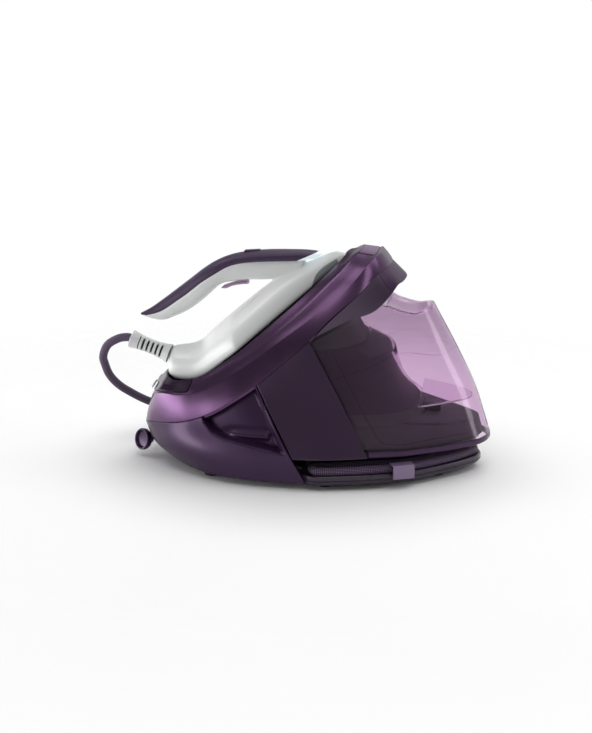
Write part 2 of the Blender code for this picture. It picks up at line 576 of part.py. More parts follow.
# clip on the tray's rim that holds the hose in its groove
clip_t = math.radians(24)
clip_c = Vector((121, -105.0, 0))
cx, cy = math.cos(clip_t), math.sin(clip_t)
clip_sec = [(-4.0, 12.0), (-3.4, 31.2), (9.5, 32.6), (9.5, 30.2), (-1.2, 29.0), (-1.6, 12.0)]
verts, faces = [], []
for u in (-13.5, 13.5):
    for d, z in clip_sec:
        verts.append((clip_c.x + u * cx - d * cy, clip_c.y + u * cy + d * cx, z))
n = len(clip_sec)
faces = [tuple(range(n)), tuple(range(2 * n - 1, n - 1, -1))]
faces += [(i, (i + 1) % n, n + (i + 1) % n, n + i) for i in range(n)]
finish("hose_clip", verts, faces, LILAC, origin=(clip_c.x, clip_c.y, 12.0))


# ---------------------------------------------------------------- the iron
SOLE = [(-140, 0), (-138, 22), (-131, 41), (-118, 53), (-98, 59.5), (-70, 61), (-45, 57.5), (-20, 45.9),
        (0, 38.5), (17, 25.5), (30, 13), (38, 3.5), (39.4, 0)]


def sole_ring(inward, up_by):
    half = smooth([(x, y, 0) for x, y in SOLE], 25)
    r = inset(full(half, True), inward)
    out = r.copy()
    for k, (x, y, _) in enumerate(r):
        out[k, 0], out[k, 2] = on_plane(x, up_by)
    return out


stack("soleplate", [sole_ring(1.2, 0.0), sole_ring(0.0, 1.0), sole_ring(0.0, 3.6)], STEEL)
stack("heat_skirt", [sole_ring(1.6, 4.0), sole_ring(2.0, 5.8)], BLACK)

SHOULDER = [(0.0, 0.0), (0.0, 0.80), (0.05, 0.97), (0.18, 1.0), (0.45, 0.90), (0.75, 0.66), (0.93, 0.38),
            (1.0, 0.0)]
housing_low = [(-181, 118), (-176, 112), (-165, 111), (-150, 113), (-137, 117.5), on_plane(-119, 8.8),
               on_plane(-98, 8.0), on_plane(-80, 7.6), on_plane(-40, 7.4), on_plane(0, 7.4), on_plane(28, 7.4),
               on_plane(41, 7.4), on_plane(45, 9.0)]
housing_high = [(-187, 129), (-183, 142), (-172, 145.5), (-160, 147), (-147, 152), (-127, 170), (-96, 197),
                (-66, 223), (-58.5, 232), (-57.5, 247), (-48, 257.1), (-20, 258.2), (6, 260.4), (16, 268.5),
                (30, 270.5), (39.5, 268)]
housing_w = [20, 38, 49, 54, 57.5, 59.5, 60, 59, 56, 51, 45, 38, 30, 21, 12, 4]
beam("iron_housing", housing_low, housing_high, housing_w, SHOULDER, WHITE, n=30)

LOWER_HALF = [(0.0, 0.0), (0.02, 0.40), (0.16, 0.74), (0.50, 0.95), (1.0, 1.0), (1.0, 0.0)]
UPPER_HALF = [(0.0, 0.0), (0.0, 1.0), (0.40, 0.99), (0.72, 0.80), (0.92, 0.46), (1.0, 0.0)]
under_line = [(-217.5, 182), (-208, 178.5), (-195, 177), (-178, 183), (-160, 192), (-145, 203), (-130, 216),
              (-118, 226.5), (-100, 230.5), (-80, 232.5), (-66, 230.5), (-59.4, 232.2)]
bound_line = [(-220.0, 182.6), (-213, 183.5), (-197, 188), (-178, 200), (-160, 213), (-143, 227),
              (-125, 239.5), (-110, 248.5), (-92, 254.5), (-76, 257.0), (-59.2, 258.0)]
beam("handle_shell", under_line, bound_line, [8, 14, 16, 17, 17.5, 17.5, 17.5, 18, 19, 21, 24],
     LOWER_HALF, WHITE, n=22)
grip_low = [(-221.5, 183.2), (-213, 184.1), (-197, 188.7), (-178, 200.8), (-160, 213.8), (-143, 227.8),
            (-125, 240.3), (-110, 249.2), (-92, 255.2), (-76, 257.8), (-57, 258.8), (-40, 259.4), (-20, 259.8)]
grip_high = [(-224.0, 185.0), (-212, 191.5), (-195, 203.5), (-176, 218), (-158, 232), (-140, 246),
             (-124, 256), (-106, 263.5), (-85, 268), (-60, 270.5), (-30, 271.5), (-8, 271.4), (4.0, 270.4)]
beam("handle_grip", grip_low, grip_high, [5, 13, 15.5, 16.5, 17, 17, 17, 17, 17.5, 18, 18.5, 18, 16, 13],
     UPPER_HALF, ((0.075, 0.05, 0.10), 0.38), n=26)
beam("light_window", [(-18.6, 260.2), (3.6, 262.3)], [(5.4, 270.2), (13.2, 270.2)], [12.5, 9.0],
     [(0.0, 0.0), (0.0, 1.0), (0.7, 0.9), (1.0, 0.5), (1.0, 0.0)], ((0.55, 0.80, 0.90), 0.1), n=4)
block("boost_button", (-78, 0, 271.4), (24, 11, 2.6), DARK, 1.0, tilt=4)
beam("steam_trigger", [(-119.0, 220.5), (-113, 220.5), (-104, 224.0), (-92, 226.4), (-84, 227.0)],
     [(-116.5, 223.2), (-110.0, 225.4), (-101, 228.2), (-92, 230.0), (-84.4, 230.9)], [6, 8, 8, 8, 7],
     [(0.0, 0.0), (0.0, 0.7), (0.3, 1.0), (1.0, 1.0), (1.0, 0.0)], LILAC, n=8, origin=(-84, 0, 229))
R_AX = Vector((-0.94, 0, 0.34)).normalized()
turned("strain_relief", [(HOSE_R + 0.5, 4.8), (12.6, 4.8), (10.6, 12), (9.2, 24), (9.0, 36), (10.2, 48),
                         (11.8, 58), (HOSE_R + 0.5, 58)], WHITE,
       (-183.2, 0, 131.0), axis=R_AX, seg=24)
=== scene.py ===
import math

import bmesh
import bpy
import numpy as np
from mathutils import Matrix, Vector
from mathutils.bvhtree import BVHTree


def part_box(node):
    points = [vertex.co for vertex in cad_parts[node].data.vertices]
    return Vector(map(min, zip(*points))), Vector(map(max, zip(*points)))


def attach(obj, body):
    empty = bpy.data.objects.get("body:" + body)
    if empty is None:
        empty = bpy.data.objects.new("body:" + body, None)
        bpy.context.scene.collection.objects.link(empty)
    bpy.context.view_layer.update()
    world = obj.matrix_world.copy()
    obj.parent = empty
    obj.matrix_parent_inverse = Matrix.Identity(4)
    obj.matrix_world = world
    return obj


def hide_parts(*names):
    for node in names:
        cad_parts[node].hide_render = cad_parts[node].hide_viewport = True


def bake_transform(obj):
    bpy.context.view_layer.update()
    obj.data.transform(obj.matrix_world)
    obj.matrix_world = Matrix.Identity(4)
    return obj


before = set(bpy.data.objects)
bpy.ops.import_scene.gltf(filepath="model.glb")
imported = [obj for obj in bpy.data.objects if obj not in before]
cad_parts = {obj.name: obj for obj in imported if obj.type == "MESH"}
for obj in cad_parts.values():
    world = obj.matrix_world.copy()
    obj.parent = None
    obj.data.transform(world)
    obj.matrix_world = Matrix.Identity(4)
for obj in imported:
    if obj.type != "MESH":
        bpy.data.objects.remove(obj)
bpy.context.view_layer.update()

# Lengths below are millimetres in the assembly's drawing frame; X0 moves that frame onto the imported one.
MM = 0.001
X0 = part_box("platform_surround")[0].x / MM + 219.0
TILT_DEG = 41
TILT = math.radians(TILT_DEG)
NOSE_X, NOSE_Z = 39.0, 253.5
HOSE_R = 5.4


# ------------ curves and rings
def smooth(pts, n):
    """n points evenly spaced along a smooth curve through pts."""
    p = np.array(pts, float)
    if len(p) < 3:
        return p[0] + (p[-1] - p[0]) * np.linspace(0, 1, n)[:, None]
    d = np.r_[0, np.cumsum(np.linalg.norm(np.diff(p, axis=0), axis=1))]
    m = np.gradient(p, d, axis=0)
    fine = []
    for i in range(len(p) - 1):
        h = d[i + 1] - d[i]
        t = np.linspace(0, 1, 25)[:-1, None]
        fine.append((2 * t**3 - 3 * t**2 + 1) * p[i] + (t**3 - 2 * t**2 + t) * h * m[i]
                    + (3 * t**2 - 2 * t**3) * p[i + 1] + (t**3 - t**2) * h * m[i + 1])
    f = np.vstack(fine + [p[-1:]])
    a = np.r_[0, np.cumsum(np.linalg.norm(np.diff(f, axis=0), axis=1))]
    s = np.linspace(0, a[-1], n)
    return np.stack([np.interp(s, a, f[:, k]) for k in range(p.shape[1])], 1)


def full(half):
    """Closed ring from a half outline: near side first, then back along the far side."""
    h = np.array(half, float)
    return np.vstack([h * [1, -1, 1], h[-2:0:-1]])


def normals(ring, closed=True):
    """Plan normals of a ring, pointing outwards for near-side-first order."""
    t = np.roll(ring, -1, 0) - np.roll(ring, 1, 0) if closed else np.gradient(ring, axis=0)
    n = np.stack([t[:, 1], -t[:, 0], np.zeros(len(ring))], 1)
    return n / np.linalg.norm(n, axis=1)[:, None]


def inset(ring, d, closed=True, dz=0.0):
    """Ring moved inwards by d in plan, and up by dz."""
    return ring - normals(ring, closed) * d + [0, 0, dz]


def cut(half, lo=-math.inf, hi=math.inf, n=60):
    """The stretch of a half outline between two x positions."""
    p = smooth(half, 600)
    p = p[(p[:, 0] >= lo) & (p[:, 0] <= hi)]
    pick = np.linspace(0, len(p) - 1, 24).round().astype(int)
    return smooth(p[np.unique(pick)], n)


def heel_u(half):
    """Open line round the heel, from the near side to the far side."""
    h = np.array(half)
    return np.vstack([(h * [1, -1, 1])[::-1], h[1:]])


def stern_u(half):
    """Open line round the tank end, from the near side to the far side."""
    h = np.array(half)
    return np.vstack([h * [1, -1, 1], h[-2::-1]])


def columns(lines, rows):
    """Grid of points with smooth columns through lines of equal length."""
    cols = [smooth([l[j] for l in lines], rows) for j in range(len(lines[0]))]
    return np.array(cols).transpose(1, 0, 2)


def span_over(line, n, dish=0.0):
    """Grid from a line on one side straight over to its mirror image, sagging by dish in the middle."""
    return np.array([line * [1, 1 - 2 * t, 1] - [0, 0, dish * (1 - (2 * t - 1)**2)]
                     for t in np.linspace(0, 1, n)])


def unit(v):
    """Vectors of length one."""
    return v / np.maximum(np.linalg.norm(v, axis=-1, keepdims=True), 1e-9)


def rounded(lines, radii, n=5, closed=False):
    """Rounds the corners between parallel lines of points: each line is a corner of the section."""
    out = []
    k = len(lines)
    for i, p in enumerate(lines):
        r = radii[i]
        if r == 0 or (not closed and i in (0, k - 1)):
            out.append(p)
            continue
        a = p + unit(lines[i - 1] - p) * r
        b = p + unit(lines[(i + 1) % k] - p) * r
        for t in np.linspace(0, 1, n):
            out.append((1 - t)**2 * a + 2 * t * (1 - t) * p + t**2 * b)
    return np.array(out)


def ease(t):
    """Smooth step from 0 to 1."""
    t = np.clip(t, 0, 1)
    return t * t * (3 - 2 * t)


def platform_z(x):
    """Height of the sloping plane that the sole rests on."""
    return NOSE_Z + math.tan(TILT) * (x - NOSE_X)


def on_plane(x, up_by):
    """Point (x, z) at a height above that plane."""
    return (x - up_by * math.sin(TILT), platform_z(x) + up_by * math.cos(TILT))


# ------------ materials
def srgb(code):
    """Linear colour of a hex code."""
    v = [int(code[i:i + 2], 16) / 255 for i in (0, 2, 4)]
    return tuple(c / 12.92 if c <= 0.04045 else ((c + 0.055) / 1.055)**2.4 for c in v)


def toned(c, factor):
    """The colour made lighter or darker."""
    return tuple(min(1, v * factor) for v in c)


class Tree:
    """A node tree. Inputs are given as values or as the sockets that feed them."""
    def __init__(self, tree):
        self.t = tree

    def feed(self, socket, v):
        if isinstance(v, bpy.types.NodeSocket):
            self.t.links.new(v, socket)
        else:
            socket.default_value = (*v, 1) if socket.type == "RGBA" and len(v) == 3 else v

    def add(self, kind, inputs=None, **props):
        n = self.t.nodes.new(kind)
        for k, v in props.items():
            setattr(n, k, v)
        for k, v in (inputs or {}).items():
            self.feed(n.inputs[k], v)
        return n

    def math(self, op, a, b=0.0, c=0.0):
        return self.add("ShaderNodeMath", {0: a, 1: b, 2: c}, operation=op).outputs[0]

    def step(self, value, frm, to, lo, hi):
        limits = {"Value": value, "From Min": frm, "From Max": to, "To Min": lo, "To Max": hi}
        return self.add("ShaderNodeMapRange", limits, interpolation_type="SMOOTHSTEP").outputs[0]


class Nodes(Tree):
    """A material: its shader, and the object's coordinates that drive it."""
    def __init__(self, name):
        self.m = bpy.data.materials.new(name)
        self.m.use_nodes = True
        super().__init__(self.m.node_tree)
        self.bsdf = self.t.nodes["Principled BSDF"]
        self.pos = self.add("ShaderNodeTexCoord").outputs["Object"]

    def noise(self, scale, detail=2.0, rough=0.5, vector=None):
        return self.add("ShaderNodeTexNoise", {"Vector": vector or self.pos, "Scale": scale,
                                               "Detail": detail, "Roughness": rough}).outputs["Fac"]

    def stretch(self, scale):
        return self.add("ShaderNodeMapping", {"Vector": self.pos, "Scale": scale}).outputs[0]

    def span(self, value, lo, hi, frm=0.3, to=0.7):
        return self.add("ShaderNodeMapRange", {"Value": value, "From Min": frm, "From Max": to,
                                               "To Min": lo, "To Max": hi}).outputs[0]

    def mix(self, fac, a, b):
        return self.add("ShaderNodeMix", {0: fac, 6: a, 7: b}, data_type="RGBA").outputs[2]

    def set(self, **kw):
        for k, v in kw.items():
            self.feed(self.bsdf.inputs[k.replace("_", " ")], v)

    def bump(self, height, strength, distance):
        b = self.add("ShaderNodeBump", {"Height": height, "Strength": strength, "Distance": distance})
        self.set(Normal=b.outputs[0])
        return self.m


def plastic(name, code, rough, grain, depth, coat=0.0, tone=0.12, metal=0.0):
    """Moulded plastic: slight tone drift, uneven gloss, a fine surface grain."""
    k = Nodes(name)
    c = srgb(code)
    tones = k.mix(k.span(k.noise(9.0, 3.0), 0, 1), toned(c, 1 - tone), toned(c, 1 + tone))
    k.set(Base_Color=tones, Metallic=metal, Coat_Weight=coat, Coat_Roughness=0.06,
          Roughness=k.span(k.noise(45.0, 4.0), rough * 0.94, rough * 1.08))
    return k.bump(k.noise(grain, 2.0), depth, 0.0002)


def paint(name, code, rough, metal, flake, coat):
    """Metallic lacquer over plastic: flakes of slightly different brightness under a clear coat."""
    k = Nodes(name)
    c = srgb(code)
    cells = k.add("ShaderNodeTexVoronoi", {"Vector": k.pos, "Scale": 2200.0})
    bright = k.add("ShaderNodeSeparateColor", {0: cells.outputs["Color"]}).outputs[0]
    drift = k.span(k.noise(7.0, 2.0), 0, 0.5)
    mixed = k.mix(k.math("MULTIPLY_ADD", bright, flake, drift), toned(c, 0.88), toned(c, 1.2))
    k.set(Base_Color=mixed, Metallic=metal, Coat_Weight=coat, Coat_Roughness=0.05,
          Roughness=k.span(k.noise(60.0, 3.0), rough * 0.96, rough * 1.05))
    return k.bump(k.noise(900.0, 1.0), 0.015, 0.0001)


def metal(name, code, rough, along=(4, 300, 300)):
    """Brushed metal: fine lines in one direction."""
    k = Nodes(name)
    c = srgb(code)
    lines = k.noise(6.0, 4.0, 0.6, k.stretch(along))
    k.set(Base_Color=k.mix(k.span(k.noise(20.0, 3.0), 0, 1), toned(c, 0.9), c), Metallic=1.0,
          Roughness=k.span(lines, rough * 0.7, rough * 1.4))
    return k.bump(lines, 0.12, 0.0001)


def tinted(name, code, rough=0.02, gloss=0.6):
    """Clear tinted plastic that light passes through, with a glossy skin and faint flow marks."""
    k = Nodes(name)
    c = srgb(code)
    k.set(Base_Color=k.mix(k.span(k.noise(6.0, 3.0), 0, 1), toned(c, 0.96), c),
          Roughness=k.span(k.noise(30.0, 2.0), rough * 0.6, rough * 1.4), Transmission_Weight=1.0,
          IOR=1.03, Coat_Weight=gloss, Coat_Roughness=0.04)
    return k.bump(k.noise(18.0, 2.0), 0.02, 0.0005)


YARNS_ROUND, YARN_PITCH = 9.0, 0.0042  # pitch in metres along the hose


def braid(name, dark, light):
    """Braided textile sleeve: two crossing sets of yarns round the hose."""
    k = Nodes(name)
    lay = k.add("ShaderNodeAttribute", attribute_name="lay").outputs["Vector"]
    s = k.add("ShaderNodeSeparateXYZ", {0: lay}).outputs
    ang = k.math("ARCTAN2", s[1], s[0])
    turn = k.math("MULTIPLY", ang, YARNS_ROUND)
    run = k.math("MULTIPLY", s[2], 2 * math.pi / YARN_PITCH)
    a = k.math("SINE", k.math("ADD", turn, run))
    b = k.math("SINE", k.math("SUBTRACT", turn, run))
    over = k.math("MULTIPLY", a, b)
    yarn = k.math("ABSOLUTE", over)
    fibre = k.noise(2600.0, 2.0)
    fleck = k.span(k.math("ADD", over, k.math("MULTIPLY", fibre, 0.5)), 0, 1, 0.25, 0.95)
    k.set(Base_Color=k.mix(fleck, srgb(dark), srgb(light)), Roughness=k.span(fibre, 0.55, 0.8),
          Sheen_Weight=0.1, Sheen_Roughness=0.4)
    return k.bump(k.math("ADD", yarn, k.math("MULTIPLY", fibre, 0.3)), 0.7, 0.0005)


def glow(name, code, power):
    """Lit part: an even glow under a clear coat."""
    k = Nodes(name)
    c = srgb(code)
    k.set(Base_Color=k.mix(k.span(k.noise(40.0, 2.0), 0, 1), toned(c, 0.9), c),
          Roughness=k.span(k.noise(90.0), 0.06, 0.16), Emission_Color=c, Emission_Strength=power,
          Coat_Weight=0.5)
    return k.bump(k.noise(300.0), 0.03, 0.0002)


LOOKS = {
    "ring": paint("ring_lacquer", "5a3f5f", 0.26, 0.8, 0.06, 0.0),
    "brow": paint("brow_lacquer", "4c3b51", 0.36, 0.45, 0.12, 0.1),
    "casing": paint("casing_lacquer", "3b2144", 0.34, 0.5, 0.10, 0.08),
    "cover": paint("cover_lacquer", "3c2842", 0.36, 0.4, 0.10, 0.08),
    "dark": plastic("dark_plastic_tex", "3a343b", 0.32, 1200, 0.05),
    "cap": plastic("cap_plastic", "402247", 0.42, 900, 0.02, tone=0.05, metal=0.2),
    "gloss": plastic("gloss_black", "2a1730", 0.16, 500, 0.01, metal=0.3),
    "black": plastic("black_plastic_tex", "19151b", 0.42, 1500, 0.1),
    "tray": plastic("tray_plastic", "2c1a33", 0.28, 1000, 0.1, 0.2),
    "rubber": plastic("foot_rubber_tex", "141214", 0.7, 2200, 0.5),
    "white": plastic("white_shell", "e4e5e5", 0.24, 700, 0.03, 0.12, 0.03),
    "silver": plastic("silver_insert", "8d9192", 0.30, 800, 0.08, 0.2, 0.06, 0.35),
    "grip": plastic("soft_grip", "3d2b49", 0.40, 2600, 0.35, 0.0, 0.1),
    "trigger": plastic("trigger_plastic", "a985ac", 0.3, 900, 0.08, 0.2, 0.06),
    "lilac": paint("lilac_lacquer", "7a5483", 0.30, 0.6, 0.1, 0.0),
    "clip": paint("clip_lacquer", "84708f", 0.30, 0.3, 0.15, 0.3),
    "mat": plastic("platform_mat", "1b191c", 0.62, 1800, 0.5),
    "tank": tinted("tank_clear", "e9d5e9"),
    "tank_in": tinted("tank_clear_inner", "f2e6f2", 0.02, 0.0),
    "tower": plastic("tower_plastic", "4b484d", 0.6, 1100, 0.02, tone=0.04),
    "sole": metal("sole_steel", "b9bdc2", 0.18),
    "steel": metal("brushed_steel", "a9adb0", 0.28, (60, 60, 8)),
    "brass": metal("valve_brass_tex", "b08d4c", 0.3, (40, 40, 10)),
    "button": plastic("button_grey", "b9bdbf", 0.3, 900, 0.08, 0.2, 0.05),
    "board": plastic("board_green_tex", "1c4a2a", 0.5, 500, 0.3),
    "hose": braid("hose_braid_tex", "1d1023", "9275a0"),
    "window": glow("window_clear", "e3f1f5", 0.5),
    "led": glow("led_white", "ffffff", 1.2),
}

# The record's material slot that each look belongs to; a piece looks it up, but the slot is not used further.
SLOTS = {"black_plastic": "tray black mat", "foot_rubber": "rubber", "casing_violet": "casing cover",
         "surround_purple": "ring cap", "dark_plastic": "brow gloss tower", "grey_plastic": "silver button",
         "white_plastic": "led white", "lilac_plastic": "lilac trigger clip", "tank_pink": "tank tank_in",
         "steel": "sole", "grip_plastic": "grip", "window_plastic": "window"}
SLOT_OF = {look: slot for slot, looks in SLOTS.items() for look in looks.split()}


# ------------ making pieces
def linked(name, data):
    """A new object in the scene."""
    ob = bpy.data.objects.new(name, data)
    bpy.context.scene.collection.objects.link(ob)
    return ob


def mesh_of(name, verts, faces, merge):
    """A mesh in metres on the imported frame, with its faces turned outwards."""
    me = bpy.data.meshes.new(name)
    points = (np.array(verts, float) + [X0, 0, 0]) * MM
    me.from_pydata(points.tolist(), [], [[int(i) for i in f] for f in faces])
    bm = bmesh.new()
    bm.from_mesh(me)
    if merge:
        bmesh.ops.remove_doubles(bm, verts=bm.verts, dist=0.000008)
        bmesh.ops.dissolve_degenerate(bm, edges=bm.edges, dist=0.000004)
    bmesh.ops.recalc_face_normals(bm, faces=bm.faces)
    bm.to_mesh(me)
    bm.free()
    return me


def finished(ob, look, body, nodes, slot=None):
    """Smooth shading and a material, then the body it rides on and the nodes it stands for."""
    for p in ob.data.polygons:
        p.use_smooth = True
    ob.data.materials.clear()
    ob.data.materials.append(LOOKS[look])
    if body:
        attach(ob, body)
    if nodes:
        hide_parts(*nodes)
        slot = slot or SLOT_OF[look]
    return ob


def piece(name, verts, faces, look, body, nodes=(), slot=None, angle=32, keep=False):
    """A closed mesh in place; keep holds on to every vertex."""
    ob = finished(linked(name, mesh_of(name, verts, faces, not keep)), look, body, nodes, slot)
    ob.data.set_sharp_from_angle(angle=math.radians(angle))
    return ob


def loft_faces(s, n, loop_n=True, loop_s=False):
    """Quads between s rows of n points."""
    faces = []
    for i in range(s if loop_s else s - 1):
        k = (i + 1) % s
        for j in range(n if loop_n else n - 1):
            m = (j + 1) % n
            faces.append((i * n + j, i * n + m, k * n + m, k * n + j))
    return faces


def capped(rings):
    """Points and faces of a tube through closed rings, with flat ends."""
    s, n = rings.shape[:2]
    ends = [tuple(range(n)), tuple((s - 1) * n + j for j in reversed(range(n)))]
    return rings.reshape(-1, 3), loft_faces(s, n) + ends


def swept(name, rings, look, body, loop=True, **kw):
    """Solid whose section corners (first axis) run along rings (second axis)."""
    r = np.array(rings)
    s, n = r.shape[:2]
    faces = loft_faces(s, n, loop, True)
    if not loop:
        faces.append(tuple(i * n for i in range(s)))
        faces.append(tuple(i * n + n - 1 for i in reversed(range(s))))
    return piece(name, r.reshape(-1, 3), faces, look, body, **kw)


def cap_strip(base, n):
    """Faces across one ring of a stack, between its near and far halves."""
    quads = [(base + j, base + j + 1, base + (n - j - 1) % n, base + (n - j) % n) for j in range(n // 2)]
    return [q for q in map(tuple, map(dict.fromkeys, quads)) if len(q) > 2]


def stack(name, rings, look, body, **kw):
    """Solid through a stack of rings symmetric about y = 0."""
    r = np.array(rings)
    s, n = r.shape[:2]
    faces = loft_faces(s, n) + cap_strip(0, n) + cap_strip((s - 1) * n, n)
    return piece(name, r.reshape(-1, 3), faces, look, body, **kw)


def grid_normals(g):
    """Normals of a grid of points, pointing away from y = 0."""
    n = unit(np.cross(np.gradient(g, axis=1), np.gradient(g, axis=0)))
    i, j = g.shape[0] // 2, g.shape[1] // 4
    return -n if n[i, j, 1] * g[i, j, 1] < 0 else n


def slab(outer, under):
    """Points and faces of a closed slab between two grids of points."""
    rr, cc = outer.shape[:2]
    k = rr * cc
    faces = []
    for i in range(rr - 1):
        for j in range(cc - 1):
            a = i * cc + j
            faces.append((a, a + 1, a + cc + 1, a + cc))
            faces.append((k + a, k + a + cc, k + a + cc + 1, k + a + 1))
    edge = (list(range(cc)) + [i * cc + cc - 1 for i in range(1, rr)]
            + [(rr - 1) * cc + j for j in range(cc - 2, -1, -1)] + [i * cc for i in range(rr - 2, 0, -1)])
    for a, b in zip(edge, edge[1:] + edge[:1]):
        faces.append((a, k + a, k + b, b))
    return np.vstack([outer.reshape(-1, 3), under.reshape(-1, 3)]), faces


def panel(name, grid, wall, look, body, r=0.5, out=0.0, **kw):
    """Moulded panel behind a grid of outer points, with rounded borders."""
    g = np.array(grid)
    n = grid_normals(g)
    inner = g - n * wall
    g = g + n * out
    for axis in (0, 1):
        g, n, inner = (np.moveaxis(a, axis, 0) for a in (g, n, inner))
        d0, d1 = unit(g[1] - g[0]), unit(g[-2] - g[-1])
        g = np.concatenate([[g[0] - n[0] * r, g[0] + d0 * r * 0.3 - n[0] * r * 0.3, g[0] + d0 * r], g[1:-1],
                            [g[-1] + d1 * r, g[-1] + d1 * r * 0.3 - n[-1] * r * 0.3, g[-1] - n[-1] * r]])
        n = np.concatenate([[n[0]] * 3, n[1:-1], [n[-1]] * 3])
        inner = np.concatenate([[inner[0], inner[0] + d0 * r * 0.3, inner[0] + d0 * r], inner[1:-1],
                                [inner[-1] + d1 * r, inner[-1] + d1 * r * 0.3, inner[-1]]])
        g, n, inner = (np.moveaxis(a, 0, axis) for a in (g, n, inner))
    return piece(name, *slab(g, inner), look, body, keep=True, **kw)


def circle(seg):
    """Angles of seg points round a circle."""
    return [2 * math.pi * k / seg for k in range(seg)]


def turned(name, profile, look, body, centre, axis, seg, shape=None, **kw):
    """Solid of revolution; profile (radius, height) is closed, or open with both ends on the axis."""
    rot = Vector((0, 0, 1)).rotation_difference(Vector(axis).normalized())
    verts, faces = [], []
    for r, h in profile:
        for t in circle(seg):
            q = shape(r, h, t) if shape else r
            verts.append(Vector(centre) + rot @ Vector((q * math.cos(t), q * math.sin(t), h)))
    p = len(profile)
    for i in range(p - 1 if profile[0][0] == 0 else p):
        q = (i + 1) % p
        for k in range(seg):
            m = (k + 1) % seg
            quad = (i * seg + k, i * seg + m, q * seg + m, q * seg + k)
            if profile[i][0] == 0:
                quad = (i * seg, q * seg + m, q * seg + k)
            elif profile[q][0] == 0:
                quad = (i * seg + k, i * seg + m, q * seg)
            faces.append(quad)
    return piece(name, verts, faces, look, body, **kw)


def soft_profile(points, r):
    """Rounds the corners of an open (radius, height) profile."""
    p = [np.array(q, float) for q in points]
    out = [p[0]]
    for a, b, c in zip(p, p[1:], p[2:]):
        ra = min(r, 0.45 * np.linalg.norm(a - b), 0.45 * np.linalg.norm(c - b))
        s, e = b + unit(a - b) * ra, b + unit(c - b) * ra
        out += [(1 - t)**2 * s + 2 * t * (1 - t) * b + t**2 * e for t in np.linspace(0, 1, 4)]
    return [tuple(q) for q in out + [p[-1]]]


def block(name, centre, size, look, body, bevel, tilt, **kw):
    """Moulded block with rounded edges, turned about Y by tilt (degrees)."""
    bm = bmesh.new()
    bmesh.ops.create_cube(bm, size=1.0)
    for v in bm.verts:
        v.co = Vector((v.co.x * size[0], v.co.y * size[1], v.co.z * size[2]))
    bmesh.ops.bevel(bm, geom=bm.edges[:], offset=bevel, segments=4, profile=0.5, affect="EDGES")
    bm.verts.index_update()
    c, s = math.cos(math.radians(tilt)), math.sin(math.radians(tilt))
    verts = [(centre[0] + v.co.x * c - v.co.z * s, centre[1] + v.co.y, centre[2] + v.co.x * s + v.co.z * c)
             for v in bm.verts]
    faces = [tuple(v.index for v in f.verts) for f in bm.faces]
    bm.free()
    return piece(name, verts, faces, look, body, **kw)


def beam_mesh(low, high, width, section, n=140, m=28):
    """Vertices and faces of a body between two lines in the y = 0 plane, with a smooth half section."""
    lo, hi = smooth(low, n), smooth(high, n)
    w = np.interp(np.linspace(0, 1, n), np.linspace(0, 1, 400), smooth(list(enumerate(width)), 400)[:, 1])
    half = smooth(section, m)
    half[:, 1] = np.maximum(half[:, 1], 0)
    ring = [(v, -f) for v, f in half] + [(v, f) for v, f in half[::-1][1:-1]]
    rings = np.array([[(lx + (hx - lx) * v, ww * f, lz + (hz - lz) * v) for v, f in ring]
                      for (lx, lz), (hx, hz), ww in zip(lo, hi, w)])
    return capped(rings)


# ------------ outlines (x, half width, z)
def level(z, *outline):
    """Points (x, half width) at one height."""
    return [(x, y, z) for x, y in outline]


FOOT_LINE = level(8, (-188, 0), (-184, 24), (-176, 42), (-163, 60), (-145, 81), (-123, 101), (-95, 115),
                  (-66, 123), (-30, 127), (5, 129))
CHIN_LINE = [(-211, 0, 27), (-206, 26, 28), (-197, 47, 29), (-180, 68, 30), (-158, 88, 32),
             (-128, 107, 34), (-95, 119, 37), (-60, 126, 39), (-14, 130, 42)]
SEAM = [(-219, 0, 46), (-215, 24, 49), (-206, 42, 54), (-194, 56, 57), (-175, 73, 62), (-158, 82, 66),
        (-130, 92, 76), (-111, 98, 86), (-91, 102, 99), (-59, 103, 121), (-29, 102, 146),
        (5, 100, 177), (29, 93, 202), (46, 86, 218), (64, 76, 235), (74, 66, 247), (84, 54, 256),
        (90, 40, 260), (94, 20, 261), (95, 0, 261)]
CREASE = [(-209, 0, 82), (-206, 22, 85), (-198, 42, 91), (-181, 60, 96), (-160, 73, 98),
          (-139, 80, 103), (-112, 86, 116), (-93, 88, 129), (-67, 89, 146), (-36, 88, 170),
          (5, 82, 201), (28, 76, 220), (51, 68, 240), (62, 62, 252), (72, 54, 263), (79, 43, 269.5),
          (84, 26, 272.2), (85.5, 0, 272.8)]
MIDLINE = [(-199, 0, 101), (-195, 24, 101), (-186, 44, 103), (-170, 58, 105), (-148, 68, 109),
           (-124, 75, 121), (-96, 78, 139), (-68, 78, 158), (-36, 75, 184), (-8, 69, 208),
           (15, 59, 231), (38, 47, 255), (49, 38.5, 267.5), (55.5, 28, 274.6), (58.5, 14, 276.6),
           (59, 0, 277)]
RIM = [(-187, 0, 114), (-184, 26, 112), (-175, 44, 110), (-160, 56, 112), (-136, 64, 120),
       (-100, 67, 143), (-70, 66, 167), (-40, 61, 193), (-11, 52, 219), (12, 39, 241), (28, 27, 256),
       (40, 14, 269.5), (46, 0, 274.5)]
TANK_BOTTOM = level(46, (80, 112), (119, 100), (145, 85), (172, 67), (195, 49), (209, 36), (219, 18),
                    (223, 0))
TANK_LOW = level(108, (46, 106), (80, 97), (115, 84), (145, 68), (170, 50), (186, 36), (198, 18), (202, 0))
TANK_PART = level(157, (20, 101), (50, 92), (90, 78), (120, 62), (145, 47), (160, 36), (173, 18), (178, 0))
TANK_TOP = [(9, 98.5, 176), (50, 79, 194), (88, 48, 214), (96, 43, 212), (103, 41, 209),
            (116, 40, 205), (128, 38, 203), (140, 28, 206), (147, 12, 209), (149, 0, 210)]
